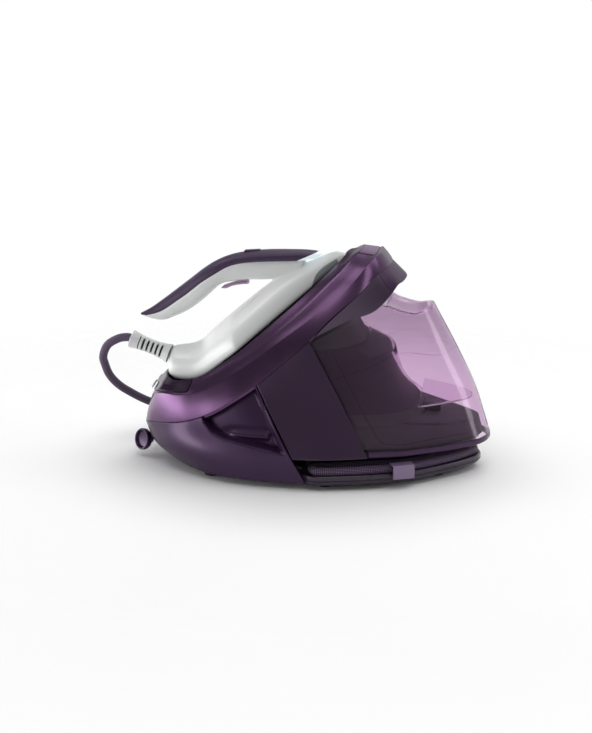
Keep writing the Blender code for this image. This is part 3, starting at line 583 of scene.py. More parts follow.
OVERHANG = [(13.5, 96.5, 182.2), (50, 80, 199), (83, 61, 210), (100, 52, 228), (107, 44, 238),
            (113, 22, 240), (115, 0, 241)]
TRAY = level(8, (-183, 0), (-179, 22), (-171, 39), (-159, 56), (-141, 76), (-120, 96), (-93, 110), (-65, 118),
             (-30, 122), (2, 124), (9, 130), (44, 128), (68, 122), (92, 114), (116, 103), (140, 87.5),
             (164, 66.5), (187, 44), (200, 28), (209, 13), (212, 0))
FRAME_LINE = level(0, (3, 126), (20, 125), (50, 118.5), (80, 108.5), (119, 96), (145, 81), (170, 59),
                   (189, 41), (200, 27), (208, 13), (211, 0))
TRAY_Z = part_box("base_tray")[0].z / MM
GROOVE_Z, LIP_Z = 16.6, 38.0
WALL, TANK_WALL, TANK_INNER = 2.4, 2.2, 2.0
UNDER_SEAM = np.array([0, 0, 0.6])

# ------------ base: tray, feet, frame
def levels(line, section, closed=True):
    """Copies of a line at each corner of a section: moved in by d, at height z."""
    return [inset(line, d, closed) * [1, 1, 0] + [0, 0, z] for d, z in section]


section = [(4.0, TRAY_Z), (0, TRAY_Z + 3.5), (0, 11.2), (0.7, 11.8), (0.7, 12.4), (0, 13.0), (0, 17.6),
           (0.8, 18.6), (2.2, 18.6), (2.6, GROOVE_Z), (33.0, GROOVE_Z), (35.0, TRAY_Z + 3.0)]
radii = [0.8, 2.2, 0.15, 0.15, 0.15, 0.15, 0.4, 0.4, 0.4, 0.6, 0, 0]
rings = levels(full(smooth(TRAY, 161)), section)
stack("tray", rounded(rings, radii, 4), "tray", "base", nodes=["base_tray"])

FEET = [(-118, 82), (26, 106), (158, 42)]
SIDES = (("near", -1), ("far", 1))
foot_profile = soft_profile([(0, 0.4), (5.4, 0.4), (5.9, 0.0), (8.0, 0), (9.5, 1.2), (9.5, 3.2), (9.0, 3.5),
                             (9.0, 4.0), (9.5, 4.3), (9.5, 6.0), (0, 6.0)], 0.5)
for i, (fx, fy) in enumerate(FEET, 1):
    for side, s in SIDES:
        turned(f"rubber_foot_{i}_{side}", foot_profile, "rubber", "base", (fx, s * fy, 0), (0, 0, 1), 48,
               nodes=[f"foot_{i}_{side}"])

rings = levels(stern_u(cut(TANK_BOTTOM, n=120)),
               [(0.0, LIP_Z + 1.2), (0.0, 45.2), (3.0, 45.2), (3.0, LIP_Z), (1.2, LIP_Z)], False)
swept("lip", rounded(rings, [0.5, 0.6, 0.3, 0.3, 0.3], 4, True), "casing", "base", False, nodes=["tank_lip"])

rings = levels(stern_u(smooth(FRAME_LINE, 120)),
               [(2.4, LIP_Z + 0.6), (2.4, 44.6), (30.6, 44.6), (30.6, GROOVE_Z + 0.4), (27.6, GROOVE_Z + 0.4),
                (27.6, LIP_Z + 0.6)], False)
swept("frame_wall", rounded(rings, [0.6, 0.6, 0, 0, 0.5, 2.0], 4, True), "black", "base", False,
      nodes=["lower_frame"])

# ------------ base: lower casing with carry grips
GRIP_DEPTH = 15.0
GRIP_FLOOR = [(-135, 88), (-126, 72), (-112, 61), (-95, 56), (-66, 52), (-34, 47), (-12, 42)]


def grip_depth(x, z):
    """How far the casing is scooped in: a pocket for the fingers below a rounded lip."""
    floor_z = np.interp(x, [p[0] for p in GRIP_FLOOR], [p[1] for p in GRIP_FLOOR])
    up = ease((z - floor_z + 1.5) / 5.0)
    left = ease((x + 129.0) / 9.0)
    right = ease((-0.53 * (z - 124.0) - 61.0 - x) / 9.0)
    lip_z = 60.5 + 0.02 * (x + 60)
    ridge = 5.5 * np.exp(-((z - lip_z) / 4.6)**2) * ease((x + 108) / 26.0) * ease((-36 - x) / 9.0)
    return np.maximum((GRIP_DEPTH - ridge) * up * left * right, 0)


heel_lines = [heel_u(cut(FOOT_LINE, n=170)), heel_u(cut(CHIN_LINE, n=170)),
              heel_u(cut(SEAM, hi=-58.5, n=170)) - UNDER_SEAM]
g = columns(heel_lines, 90)
g[:, :, 1] -= np.sign(g[:, :, 1]) * grip_depth(g[:, :, 0], g[:, :, 2])
panel("casing", g, WALL, "casing", "base", r=0.4, nodes=["lower_casing"])

side_low = smooth([(-10.2, 129.8, LIP_Z), (20, 128.5, LIP_Z), (50, 122, LIP_Z), (79, 112.5, LIP_Z)], 60)
side_mid = smooth([(-33.0, 119.5, 80), (5, 114.5, 91), (45, 106.2, 106)], 60)
side_top = cut(SEAM, lo=-57.4, hi=6.0, n=60) - UNDER_SEAM
for side, s in SIDES:
    g = columns([side_low * [1, s, 1], side_mid * [1, s, 1], side_top * [1, s, 1]], 44)
    panel("flank_" + side, g, WALL, "cover", "base", r=0.45, nodes=["side_cover_" + side])

over_top = inset(stern_u(cut(SEAM, lo=15.0, n=81)), 0.5, False) - [0, 0, 2.0]
over_low = stern_u(smooth(OVERHANG, 81))
grid = columns([over_top, over_low], 24)
corner = 54  # columns on each side, before the end cap
for side, sl in (("near", slice(0, corner)), ("far", slice(-corner, None))):
    panel("brow_" + side, grid[:, sl], WALL, "brow", "base", nodes=["overhang_side_" + side])
lap = 2  # columns of the cap that lie over each side
panel("brow_cap", grid[:, corner - lap:lap - corner], WALL, "cap", "base", r=0.7, out=0.3,
      nodes=["overhang_end_cap"])

# ------------ base: ring, platform
NS = 281  # points along each side of the ring
seam, crease = full(smooth(SEAM, NS)), full(smooth(CREASE, NS))
midline, rim = full(smooth(MIDLINE, NS)), full(smooth(RIM, NS))
lines = [inset(seam, 3.3, dz=-3.5), inset(seam, 3.1, dz=0.1), seam,
         seam * 0.5 + crease * 0.5 + normals(crease) * 1.2, crease,
         crease * 0.55 + midline * 0.45 - [0, 0, 0.7], midline - [0, 0, 0.2],
         midline * 0.5 + rim * 0.5 - [0, 0, 0.5],
         rim, inset(rim, -0.9, dz=-0.6), inset(rim, -1.3, dz=-2.0), inset(rim, -1.4, dz=-13),
         inset(rim, -3.6, dz=-13), inset(rim, -3.6, dz=-6), inset(midline, 0.0, dz=-6.0),
         inset(crease, 5.0, dz=-5.0), inset(seam, 5.0, dz=2)]
radii = [0, 0, 0.6, 9, 0.9, 4, 3, 3, 0.5, 0.3, 0.5, 0, 0, 0, 0, 0, 0]
swept("ring", rounded(lines, radii, 5, True), "ring", "base", nodes=["platform_surround"], angle=50)

plate = full(smooth(level(0, (-184, 0), (-181, 25), (-172, 41), (-158, 52), (-136, 60), (-100, 63), (-70, 62),
                          (-40, 57), (-11, 48), (10, 36), (26, 24), (37, 12), (42, 0)), 121))


def plate_z(x, drop):
    """Height of the platform mat: the sloping plane, bending up at the heel."""
    return np.maximum(platform_z(x), 98.0 + 0.0015 * (x + 187)**2) - drop


rings = []
MAT_STEPS = [(0.8, 10.0), (0.0, 9.4), (0.0, 7.6), (0.5, 7.0), (5, 7.0), (5.6, 5.6), (7.4, 5.6), (8.0, 7.0),
             (13, 7.0), (13.6, 5.6), (15.4, 5.6), (16, 7.0), (22, 7.0), (22.6, 5.9), (24.4, 5.9), (25, 7.0)]
for d, drop in MAT_STEPS:
    r = inset(plate, d)
    r[:, 2] = plate_z(r[:, 0], drop)
    rings.append(r)
stack("platform_mat", rings, "mat", "base", nodes=["platform_plate"], angle=40)
for i, (rest_x, width) in enumerate(((-60, 60), (8, 36)), 1):
    cx, cz = on_plane(rest_x, -2.7)
    block(f"rest_bar_{i}", (cx, 0, cz), (9, width, 4.0), "silver", "base", 1.4, tilt=TILT_DEG,
          nodes=[f"heat_rest_{i}"])

# control panel on the heel, two buttons and a light
HEEL = np.arange(-66, 67)  # points of the ring to each side of the heel's middle
a, b, c = crease[HEEL], midline[HEEL], rim[HEEL]
rows = [a + (b - a) * 2 * w if w < 0.5 else b + (c - b) * (2 * w - 1) for w in np.linspace(0.12, 0.95, 24)]
lift = np.array([-0.62, 0, 0.78]) * 1.6
panel("control_window", np.array(rows) + lift, 1.0, "gloss", "base", nodes=["control_panel"])
key = soft_profile([(0, 0), (6.0, 0), (6.0, 1.4), (5.0, 2.2), (3.2, 2.3), (2.6, 2.0), (0, 1.9)], 0.35)
for name, y, node in (("power_key", -15.0, "on_off_button"), ("eco_key", 15.0, "eco_button")):
    turned(name, key, "button", node, (-203.9, y, 95.6), (-0.84, 0, 0.54), 48, nodes=[node])
lamp = soft_profile([(0, 0), (1.8, 0), (1.8, 0.8), (1.2, 1.3), (0, 1.5)], 0.3)
turned("status_lamp", lamp, "led", "base", (-206.2, 0, 92.6), (-0.88, 0, 0.47), 32, nodes=["status_light"])

# carry lock on the nose end of the ring
def lock_grid(reach, w0, w1):
    """Part of the ring's top face across the nose, between its inner and outer corner lines."""
    nose = slice(NS - 1 - reach, NS + reach)
    return np.array([midline[nose] + (crease - midline)[nose] * w for w in np.linspace(w0, w1, 14)])


# Black plate under the slider that shows round its edges as a dark outline: painted shade in the gap round
# the slider.
panel("lock_gap_shade", lock_grid(21, 0.04, 0.80), 2.0, "black", "base", r=0.2, out=0.02)
panel("lock_slider", lock_grid(20, 0.07, 0.77), 1.6, "lilac", "carry_lock_button", out=0.45,
      nodes=["carry_lock_button"])

# ------------ water tank
tank_lines = [stern_u(smooth(l, 110)) for l in (TANK_BOTTOM, TANK_LOW, TANK_PART, TANK_TOP)]
tank_grid = columns(tank_lines, 120)
panel("tank_wall", tank_grid, TANK_WALL, "tank", "water_tank", r=0.6, nodes=["water_tank"])


def grid_at(g, u, v):
    """Point of a grid at column share u and row share v."""
    r, c = (g.shape[0] - 1) * v, (g.shape[1] - 1) * u
    i, j = min(int(r), g.shape[0] - 2), min(int(c), g.shape[1] - 2)
    a, b = r - i, c - j
    upper = g[i, j] * (1 - b) + g[i, j + 1] * b
    lower = g[i + 1, j] * (1 - b) + g[i + 1, j + 1] * b
    return upper * (1 - a) + lower * a


def tube(name, p, radius, look, body, seg=8, **kw):
    """Round bead along a line of points."""
    t = unit(np.gradient(p, axis=0))
    rings = []
    a = unit(np.cross(t[0], [0, 0, 1.0] if abs(t[0][2]) < 0.9 else [1.0, 0, 0]))
    for q, d in zip(p, t):
        a = unit(a - d * (a @ d))
        b = np.cross(d, a)
        rings.append([q + radius * (a * math.cos(s) + b * math.sin(s)) for s in circle(seg)])
    return piece(name, *capped(np.array(rings)), look, body, **kw)


PART_V = 0.66  # row share of the parting line
bead = np.array([grid_at(tank_grid, u, PART_V) for u in np.linspace(0.012, 0.988, 300)])
tube("tank_seam", bead - unit(bead * [0.25, 1, 0]) * 0.25, 0.45, "tank_in", "water_tank", slot="tank_pink")
BEAD_UV = [(0.045, 0.86), (0.045, 0.5), (0.048, 0.2), (0.053, 0.10), (0.066, 0.062), (0.09, 0.052),
           (0.2, 0.052), (0.3, 0.055), (0.36, 0.058)]
for side, s in SIDES:
    bead = np.array([grid_at(tank_grid, u if s < 0 else 1 - u, v) for u, v in smooth(BEAD_UV, 200)])
    tube("tank_bead_" + side, bead, 0.55, "tank_in", "water_tank", slot="tank_pink")

tank_foot = smooth(level(92, (136, 70), (150, 60), (168, 46), (184, 32), (196, 16), (200, 0)), 40)[:-1]
panel("tank_base", span_over(tank_foot, 9), TANK_INNER, "tank_in", "water_tank", r=0.4,
      nodes=["tank_floor"])
cover_edge = tank_lines[3]
near_edge = inset(cover_edge, 3.6, False)[cover_edge[:, 0] > 92] - [0, 0, 1.0]
near_edge = near_edge[near_edge[:, 1] < -2.0]
panel("tank_lid", span_over(near_edge, 25, dish=7.0), TANK_WALL, "tank", "water_tank",
      nodes=["tank_cover"])

# ------------ what shows through the tank
# Levels of the tower: height, x and half width of its edge beside the flank, and x of its nose.
TOWER = [(73, 50, 99, 142), (80, 48, 99, 138), (88.5, 45, 99, 131), (96, 41, 99, 121), (106, 35, 98, 112),
         (117, 29, 97.5, 105.5), (135, 19, 96, 99.6), (150, 11, 94.5, 96), (153, 10, 94, 93),
         (164, 5, 93, 67), (168, 4, 92, 63), (180, 2, 88, 56), (198, 4, 77, 54), (214, 9, 60, 54)]
turn_by = np.linspace(0, math.pi / 2, 60)


def tower_row(z, x, y, nose):
    """One level of the tower: from its edge beside the flank round to its nose on the centre line."""
    across = x + (nose - x) * np.sin(turn_by)**0.85
    return stern_u(np.stack([across, y * np.cos(turn_by)**0.75, z + 0 * turn_by], 1))


panel("tower", [tower_row(*row) for row in TOWER], WALL, "tower", "base", nodes=["inner_tower"])
TANK_FLOOR_Z, TANK_GAP = 89.4, 5.6
# The tank's rear wall follows the tower up to its shoulder.
rows = [tower_row(max(z - 1.0, TANK_FLOOR_Z), *rest) for z, *rest in TOWER if 88 < z < 175]
panel("tank_rear_wall", [inset(row, -TANK_GAP, False) for row in rows], TANK_INNER, "tank_in", "water_tank",
      r=0.4, nodes=["tank_inner_wall"])
PED_N = 80
ped_low = stern_u(smooth(level(45.9, (70, 105), (119, 92), (145, 77), (170, 59), (191, 42), (203, 28),
                               (211, 14), (214, 0)), PED_N))
ped_top = stern_u(smooth([(49, 101, 80), (98, 88, 76), (130, 73, 72), (158, 56, 68), (178, 42, 66),
                          (194, 27, 65), (206, 12, 64), (209, 0, 64)], PED_N))
panel("pedestal", [ped_low, ped_low * 0.5 + ped_top * 0.5, ped_top], WALL, "tower", "base",
      nodes=["tank_pedestal"])
panel("pedestal_top", span_over(ped_top[:PED_N - 1] + [0, 0, WALL + 0.5], 9), WALL, "tower", "base",
      nodes=["pedestal_lid"])

block("roof_rib", (44, 0, 203), (56, 3, 30), "tower", "base", 1.2, tilt=38)

# ------------ descaling knob, mains inlet
KNOB_AXIS = Vector((-0.62, -0.76, 0.18)).normalized()
KNOB_C = Vector((-219.8, -16.6, 22.0))
prof = soft_profile([(0, -12), (5.2, -12), (5.2, -5), (11.5, -4), (13.6, -1.5), (14.2, 3.5), (13.0, 5.4),
                     (11.2, 4.6), (10.2, 1.0), (0, 0.2)], 0.8)


def scallop(r, h, t):
    """Shallow finger grooves round the knob's rim."""
    return r - (0.25 * (0.5 + 0.5 * math.cos(24 * t)) if r > 12.6 and h < 4.4 else 0)


turned("rinse_knob", prof, "casing", "descale_knob", KNOB_C, KNOB_AXIS, 192, scallop, nodes=["descale_knob"])
prof = soft_profile([(2.6, 0), (5.6, 0), (5.6, 2.5), (4.2, 3.5), (4.0, 6), (2.6, 6)], 0.3)
turned("power_inlet", prof, "black", "base", (-197.4, 12, 11.0), (-0.66, 0.06, -0.75), 40,
       nodes=["mains_inlet"])

# ------------ steam hose
GROOVE_MID = 22.3
OUTER_RUN = [(64, 113.9), (87, 106.3), (104, 99), (120, 90.2), (140, 76.2), (154, 63.8), (172, 46.5),
             (184.6, 33), (196, 18), (202, 7)]
INNER_RUN = [(94.7, 82.4), (112, 76.1), (127.7, 67.3), (144.9, 53.6), (158.5, 41.0), (167.6, 32.7),
             (175.7, 24.2), (182.6, 15.8), (188, 8)]
FOLD = [(45, -118.6), (32, -121.5), (24, -122.4), (17.5, -121.4), (12.6, -117.6), (11.0, -112.6),
        (12.6, -107.6), (17.5, -104.2), (24, -103.2), (30, -102.0), (45.5, -98.0), (60.2, -93.2),
        (76.9, -87.5)]


def mirrored(run):
    """The same run on the other side."""
    return [(x, -y) for x, y in run]


in_groove = (OUTER_RUN + [(203, 0)] + mirrored(OUTER_RUN[::-1]) + FOLD
             + mirrored(INNER_RUN) + [(190.2, 0)] + INNER_RUN[::-1])
HOSE_ROUTE = [
    (-233.5, 0, 149.2), (-240, 0, 152), (-250, 0.5, 151.5), (-260, 2, 147.5), (-269.5, 5, 141),
    (-277, 11, 129.5), (-280, 16, 119.5), (-279.5, 22, 110), (-278, 30, 97.5), (-274, 40, 85), (-266, 50, 73),
    (-257, 60, 63.5), (-246, 72, 53), (-232, 85, 43), (-210, 101, 35), (-182, 116, 29.5),
    (-148, 128, 26.5), (-100, 137, 25), (-50, 140, 24.6), (-10, 139, 24.8), (16, 133.4, 24.9),
    (34, 125.8, 24.2), (50, 118.4, 22.8), *[(x, y, GROOVE_MID) for x, y in in_groove],
    (76.9, 87.6, 22.4), (58, 94.0, 22.9), (44, 98.8, 23.4),
]
line = smooth(HOSE_ROUTE, 1400)
HOSE_SEG = 20
hose = tube("hose", line, HOSE_R, "hose", None, seg=HOSE_SEG, slot="hose_braid")
# The braid follows "lay": direction round the hose, and metres along it.
run = np.r_[0, np.cumsum(np.linalg.norm(np.diff(line, axis=0), axis=1))] * MM
lay = np.array([(math.cos(t), math.sin(t), along) for along in run for t in circle(HOSE_SEG)], np.float32)
hose.data.attributes.new("lay", "FLOAT_VECTOR", "POINT").data.foreach_set("vector", lay.ravel())
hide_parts("steam_hose")

# ------------ the iron
SOLE = [(-140, 0), (-138, 22), (-131, 41), (-118, 53), (-98, 59.5), (-70, 61), (-45, 57.5), (-20, 45.9),
        (0, 38.5), (17, 25.5), (30, 13), (38, 3.5), (39.4, 0)]


def sole_rings(*steps):
    """Outlines of the soleplate, each moved in, and up from the platform plane."""
    rings = []
    for inward, up_by in steps:
        r = inset(full(smooth(level(0, *SOLE), 121)), inward)
        r[:, 0], r[:, 2] = on_plane(r[:, 0], up_by)
        rings.append(r)
    return rings


stack("sole", sole_rings((4.0, 0.0), (1.6, 0.0), (0.7, 0.25), (0.15, 0.7), (0.0, 1.2), (0.0, 3.3),
                         (0.3, 3.6)), "sole", "iron", nodes=["soleplate"])
stack("heat_band", sole_rings((1.6, 4.0), (1.4, 4.3), (1.8, 5.5), (2.0, 5.8)), "black", "iron",
      nodes=["heat_skirt"])

SHOULDER = [(0.0, 0.0), (0.0, 0.92), (0.01, 0.98), (0.05, 1.0), (0.16, 1.0), (0.30, 0.965), (0.44, 0.915),
            (0.56, 0.855), (0.64, 0.79), (0.72, 0.68), (0.82, 0.51), (0.92, 0.31), (0.98, 0.14), (1.0, 0.0)]
housing_low = [(-184, 113), (-178, 107.5), (-165, 106.5), (-150, 109), (-137, 114.5), on_plane(-119, 8.8),
               on_plane(-98, 8.0), on_plane(-80, 7.6), on_plane(-40, 7.4), on_plane(0, 7.4),
               on_plane(28, 7.4), on_plane(41, 7.4), on_plane(45, 9.0)]
housing_high = [(-187, 129), (-183, 142), (-172, 145.5), (-160, 147), (-147, 152), (-127, 170), (-96, 197),
                (-66, 222), (-44, 238.5), (-22, 251), (0, 260), (14, 266.5), (27, 270.3), (39.5, 268)]
housing_w = [24, 41, 51, 55.5, 58.5, 59.5, 60, 59, 56, 51, 45, 38, 30, 21, 12, 4]
LOWER_HALF = [(0.0, 0.0), (0.02, 0.40), (0.16, 0.74), (0.50, 0.95), (1.0, 1.0), (1.0, 0.0)]
UPPER_HALF = [(0.0, 0.0), (0.0, 1.0), (0.40, 0.99), (0.72, 0.80), (0.92, 0.46), (1.0, 0.0)]
under_line = [(-217.5, 182), (-208, 178.5), (-195, 177), (-178, 183), (-160, 192), (-145, 203), (-130, 216),
              (-118, 226.5), (-100, 230.5), (-80, 232.5), (-62, 233), (-40, 236), (-20, 242)]
bound_line = [(-220.0, 182.6), (-213, 183.5), (-197, 188), (-178, 200), (-160, 213), (-143, 227),
              (-125, 239.5), (-110, 248.5), (-92, 254.5), (-76, 257.0), (-56, 258.0),
              (-36, 258.2), (-12, 258.0)]


def fused(name, parts, voxel, passes, look, body, nodes):
    """One skin over several overlapping solids, with softened inner corners."""
    verts, faces = [], []
    for v, f in parts:
        k = len(verts)
        verts += [tuple(q) for q in v]
        faces += [tuple(i + k for i in q) for q in f]
    raw = linked(name + "_raw", mesh_of(name + "_raw", verts, faces, False))
    rm = raw.modifiers.new("skin", "REMESH")
    rm.mode, rm.voxel_size = "VOXEL", voxel * MM
    sm = raw.modifiers.new("soften", "SMOOTH")
    sm.factor, sm.iterations = 0.5, passes
    dg = bpy.context.evaluated_depsgraph_get()
    done = bpy.data.meshes.new_from_object(raw.evaluated_get(dg))
    done.name = name
    bpy.data.objects.remove(raw)
    return finished(linked(name, done), look, body, nodes)


housing = beam_mesh(housing_low, housing_high, housing_w, SHOULDER, 160, 40)
handle = beam_mesh(under_line, bound_line, [8, 14, 16, 17, 17.5, 17.5, 17.5, 17.5, 17.5, 17.5, 16.5, 14, 10],
                   LOWER_HALF, 120, 24)
iron_body = fused("iron_body", [housing, handle], voxel=1.2, passes=10, look="white", body="iron",
                  nodes=["iron_housing", "handle_shell"])

bpy.context.view_layer.update()
skin = BVHTree.FromPolygons([v.co.copy() for v in iron_body.data.vertices],
                            [tuple(q.vertices) for q in iron_body.data.polygons])


def inlay(name, low, high, look, lift, thick):
    """Thin plate laid on both flanks of the iron between two lines (x, z)."""
    n, m = 50, 12
    verts, faces = [], []
    for s in (-1, 1):
        top, under = np.zeros((n, m, 3)), np.zeros((n, m, 3))
        for i, (a, b) in enumerate(zip(smooth(low, n), smooth(high, n))):
            for j in range(m):
                x, z = a + (b - a) * j / (m - 1)
                hit, nrm, _, _ = skin.ray_cast(Vector(((x + X0) * MM, s * 0.2, z * MM)), Vector((0, -s, 0)))
                nrm = np.array(nrm or (0, s, 0))  # past the edge, the plate ends in the middle plane
                p = np.array(hit) / MM - [X0, 0, 0] if hit else np.array([x, 0, z])
                top[i, j] = p + nrm * lift * (0.25 if j in (0, m - 1) else 1.0)
                under[i, j] = p - nrm * thick
        v, f = slab(top, under)
        faces += [tuple(len(verts) + i for i in q) for q in f]
        verts += list(v)
    return piece(name, verts, faces, look, "iron", keep=True, angle=50)


inlay("nose_insert", [(-15, 213.5), (-2, 225.5), (11.2, 237.3), (23, 248.4), (31, 256.0)],
      [(-8, 221), (-2.9, 226.7), (3.8, 244.0), (10.4, 251.1), (27.5, 262.4)], "silver", 0.5, 0.8)

grip_low = [(-221.5, 183.2), (-213, 184.1), (-197, 188.7), (-178, 200.8), (-160, 213.8), (-143, 227.8),
            (-125, 240.3), (-110, 249.2), (-92, 255.2), (-76, 257.8), (-57, 258.8),
            (-40, 259.4), (-20, 259.8)]
grip_high = [(-224.0, 185.0), (-212, 191.5), (-195, 203.5), (-176, 218), (-158, 232), (-140, 246),
             (-124, 256), (-106, 263.5), (-85, 268), (-60, 270.5), (-30, 271.5), (-8, 271.4), (4.0, 270.4)]
v, f = beam_mesh(grip_low, grip_high, [5, 13, 15.5, 16.5, 17, 17, 17, 17, 17.5, 18, 18.5, 18, 16, 13],
                 UPPER_HALF, 160, 26)
piece("grip", v, f, "grip", "iron", nodes=["handle_grip"], angle=40)
v, f = beam_mesh([(-18.6, 260.2), (3.6, 262.3)], [(5.4, 270.2), (13.2, 270.2)], [12.5, 11, 9.0],
                 [(0.0, 0.0), (0.0, 1.0), (0.7, 0.9), (1.0, 0.5), (1.0, 0.0)], 10, 20)
piece("signal_window", v, f, "window", "iron", nodes=["light_window"])
block("boost_key", (-79, 0, 268.8), (20, 10, 2.4), "cap", "boost_button", 1.1, tilt=4,
      nodes=["boost_button"], slot="dark_plastic")
v, f = beam_mesh([(-119.0, 220.5), (-113, 220.5), (-104, 224.0), (-92, 226.4), (-84, 227.0)],
                 [(-116.5, 223.2), (-110.0, 225.4), (-101, 228.2), (-92, 230.0), (-84.4, 230.9)],
                 [6, 8, 8, 8, 7], [(0.0, 0.0), (0.0, 0.7), (0.3, 1.0), (1.0, 1.0), (1.0, 0.0)], 30, 16)
piece("trigger", v, f, "trigger", "steam_trigger", nodes=["steam_trigger"])

# ribbed strain relief, waisted, with slots
R_AX = Vector((-0.94, 0, 0.34)).normalized()
R_BASE = Vector((-183.2, 0, 131.0))
BORE_R = HOSE_R + 0.5


def relief_r(h):
    """Radius of the strain relief at a height along its axis."""
    return np.interp(h, [2, 4.8, 12, 24, 36, 48, 58], [14.0, 12.6, 10.6, 9.2, 9.0, 10.2, 11.8])


rot = Vector((0, 0, 1)).rotation_difference(R_AX)
hs = np.unique(np.r_[np.linspace(4.8, 57.2, 120), 57.6, 57.9])
SLOT_LOW, SLOT_HIGH, SLOT_PITCH, SLOT_WIDTH = 14.0, 46.0, 6.2, 2.6
rings = []
for h in hs:
    row = []
    for t in circle(72):
        r = relief_r(h) - (0.5 if h > 57.5 else 0) - (0.4 if h > 57.8 else 0)
        ph = (h - SLOT_LOW) % SLOT_PITCH
        if SLOT_LOW < h < SLOT_HIGH and ph < SLOT_WIDTH:
            side = abs(math.sin(t))
            r -= 2.6 * float(ease((side - 0.42) / 0.12)) * float(ease(min(ph, SLOT_WIDTH - ph) / 0.5))
        row.append(R_BASE + rot @ Vector((r * math.cos(t), r * math.sin(t), h)))
    rings.append(row)
for h in (57.9, 50.0):
    rings.append([R_BASE + rot @ Vector((BORE_R * math.cos(t), BORE_R * math.sin(t), h)) for t in circle(72)])
relief = piece("relief", *capped(np.array(rings)), "white", "iron", nodes=["strain_relief"])
# The slot floors take the black finish: painted shade in the grooves.
relief.data.materials.append(LOOKS["black"])
for q in relief.data.polygons:
    c = (Vector(q.center) / MM - Vector((X0, 0, 0))) - R_BASE
    h = c.dot(R_AX)
    if (c - R_AX * h).length < relief_r(h) - 1.0 and h < 50:  # inside a slot
        q.material_index = 1

# gland where the hose goes into the base, and the clip on the tray's rim
prof = soft_profile([(0, 1.0), (6.4, 1.0), (6.4, 12), (5.0, 16), (0, 16)], 0.6)
gland = turned("gland", prof, "black", "base", (44, 98.8, 23.4), (-1, 0.3, 0), 48, nodes=["hose_gland"])
clip_t = math.radians(24)
cx, cy = math.cos(clip_t), math.sin(clip_t)
sec = [(-4.0, 13.0), (-3.4, 29.6), (9.5, 30.8), (9.5, 29.2), (-1.4, 28.2), (-1.8, 13.0)]
us = [-13.5, -13.2, -12.6, 0, 12.6, 13.2, 13.5]
rows = [np.array([(121 + u * cx - d * cy, -105 + u * cy + d * cx, z) for u in us]) for d, z in sec]
swept("clip", rounded(rows, [0.5, 1.2, 0.6, 0.6, 0.8, 0.5], 5, True), "clip", "hose_clip", False,
      nodes=["hose_clip"])

# ------------ CAD nodes that stay as they are
for node, look in {"carry_lock_hook": "steel", "carry_lock_spring": "steel", "boiler": "steel",
                   "water_pump": "silver", "solenoid_valve": "brass", "control_board": "board",
                   "tank_valve": "dark"}.items():
    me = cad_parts[node].data
    me.materials.clear()
    me.materials.append(LOOKS[look])

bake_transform(hose)

# ------------ floor, light, camera
bpy.ops.mesh.primitive_plane_add(size=3, location=(0, 0, 0))
floor = bpy.context.object
floor.name = "studio_floor"
k = Nodes("studio_floor_mat")
k.set(Base_Color=k.mix(k.span(k.noise(3.0), 0, 1), (0.95, 0.95, 0.95), (0.97, 0.97, 0.97)), Roughness=0.8)
# The floor fades out with distance from the object's middle. It glows a little only beyond 0.17 m, so the
# floor close round the object stays darker: painted shade that deepens the contact shadow.
spread_out = k.add("ShaderNodeVectorMath", {0: k.pos}, operation="LENGTH").outputs["Value"]
k.set(Alpha=k.step(spread_out, 0.42, 0.95, 1.0, 0.0), Emission_Color=(1.0, 1.0, 1.0),
      Emission_Strength=k.step(spread_out, 0.17, 0.33, 0.0, 0.17))
floor.data.materials.append(k.m)

world = bpy.data.worlds.new("studio")
bpy.context.scene.world = world
world.use_nodes = True
room = Tree(world.node_tree)
x, y, z = room.add("ShaderNodeSeparateXYZ", {0: room.add("ShaderNodeTexCoord").outputs["Generated"]}).outputs
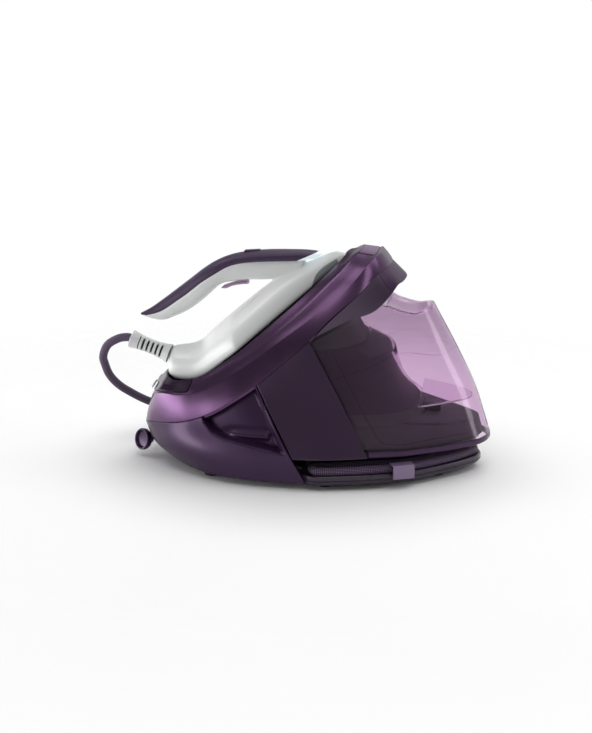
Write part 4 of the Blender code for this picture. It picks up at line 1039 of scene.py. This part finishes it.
# The room is brighter behind the object, bright low on the left, and dark halfway up on the left.
behind = room.step(y, -0.5, 0.6, 0.26, 0.62)
low_left = room.step(x, -0.35, -0.85, 0.0, 1.8), room.step(z, 0.14, 0.30, 1.0, 0.0)
band = room.math("MULTIPLY", room.step(z, 0.24, 0.38, 0.0, 1.0), room.step(z, 0.60, 0.74, 1.0, 0.0))
shade = room.math("SUBTRACT", 1.0, room.math("MULTIPLY", band, room.step(x, 0.0, -0.45, 0.0, 0.8)))
total = room.math("MULTIPLY_ADD", *low_left, room.math("MULTIPLY", behind, shade))
WHITE = (1, 1, 1, 1)
lit = room.add("ShaderNodeBackground", {0: WHITE, 1: total}).outputs[0]
plain = room.add("ShaderNodeBackground", {0: WHITE}).outputs[0]
seen = room.add("ShaderNodeLightPath").outputs["Is Camera Ray"]
backdrop = room.add("ShaderNodeMixShader", {0: seen, 1: lit, 2: plain})
room.t.links.new(backdrop.outputs[0], room.t.nodes["World Output"].inputs[0])

LIGHT_AIM = Vector((0, 0, 0.12))


def aimed(ob, heading, aim, dist):
    """Puts a light or camera out along a heading, looking back at a point."""
    ob.location = aim + heading * dist
    ob.rotation_mode = "QUATERNION"
    ob.rotation_quaternion = (-heading).to_track_quat("-Z", "Y")


def area(name, heading, dist, size, radiance):
    """Softbox of even brightness, facing the object from a heading."""
    d = bpy.data.lights.new(name, "AREA")
    d.shape, d.size, d.size_y = "RECTANGLE", size[0], size[1]
    d.energy = radiance * math.pi * size[0] * size[1]
    aimed(linked(name, d), Vector(heading).normalized(), LIGHT_AIM, dist)


# name, heading, distance, size, brightness
area("left_low", (-1, -0.10, 0.08), 2.0, (2.0, 0.44), 5.0)
area("top_left", (-0.62, 0.10, 0.82), 2.2, (0.6, 0.6), 3.0)
area("top_back", (0.30, 0.30, 0.9), 2.4, (1.8, 1.6), 2.1)
area("front_top", (0.15, -0.42, 0.90), 2.6, (1.2, 0.9), 2.6)
area("right_strip", (1, 0.05, 0.24), 2.0, (0.5, 1.0), 3.0)

cam = bpy.data.cameras.new("camera")
cam_ob = linked("camera", cam)
az, el, dist = math.radians(8), math.radians(14), 1.9
back = Vector((math.sin(az) * math.cos(el), -math.cos(az) * math.cos(el), math.sin(el)))
aimed(cam_ob, back, Vector(((-24 + X0) * MM, 0, 0.121)), dist)
VIEW_SPAN = 0.931  # metres across the longer side of the picture, at the aim point
cam.sensor_width = 36
cam.lens = cam.sensor_width * dist / VIEW_SPAN
bpy.context.scene.camera = cam_ob
bpy.context.scene.view_settings.view_transform = "Standard"
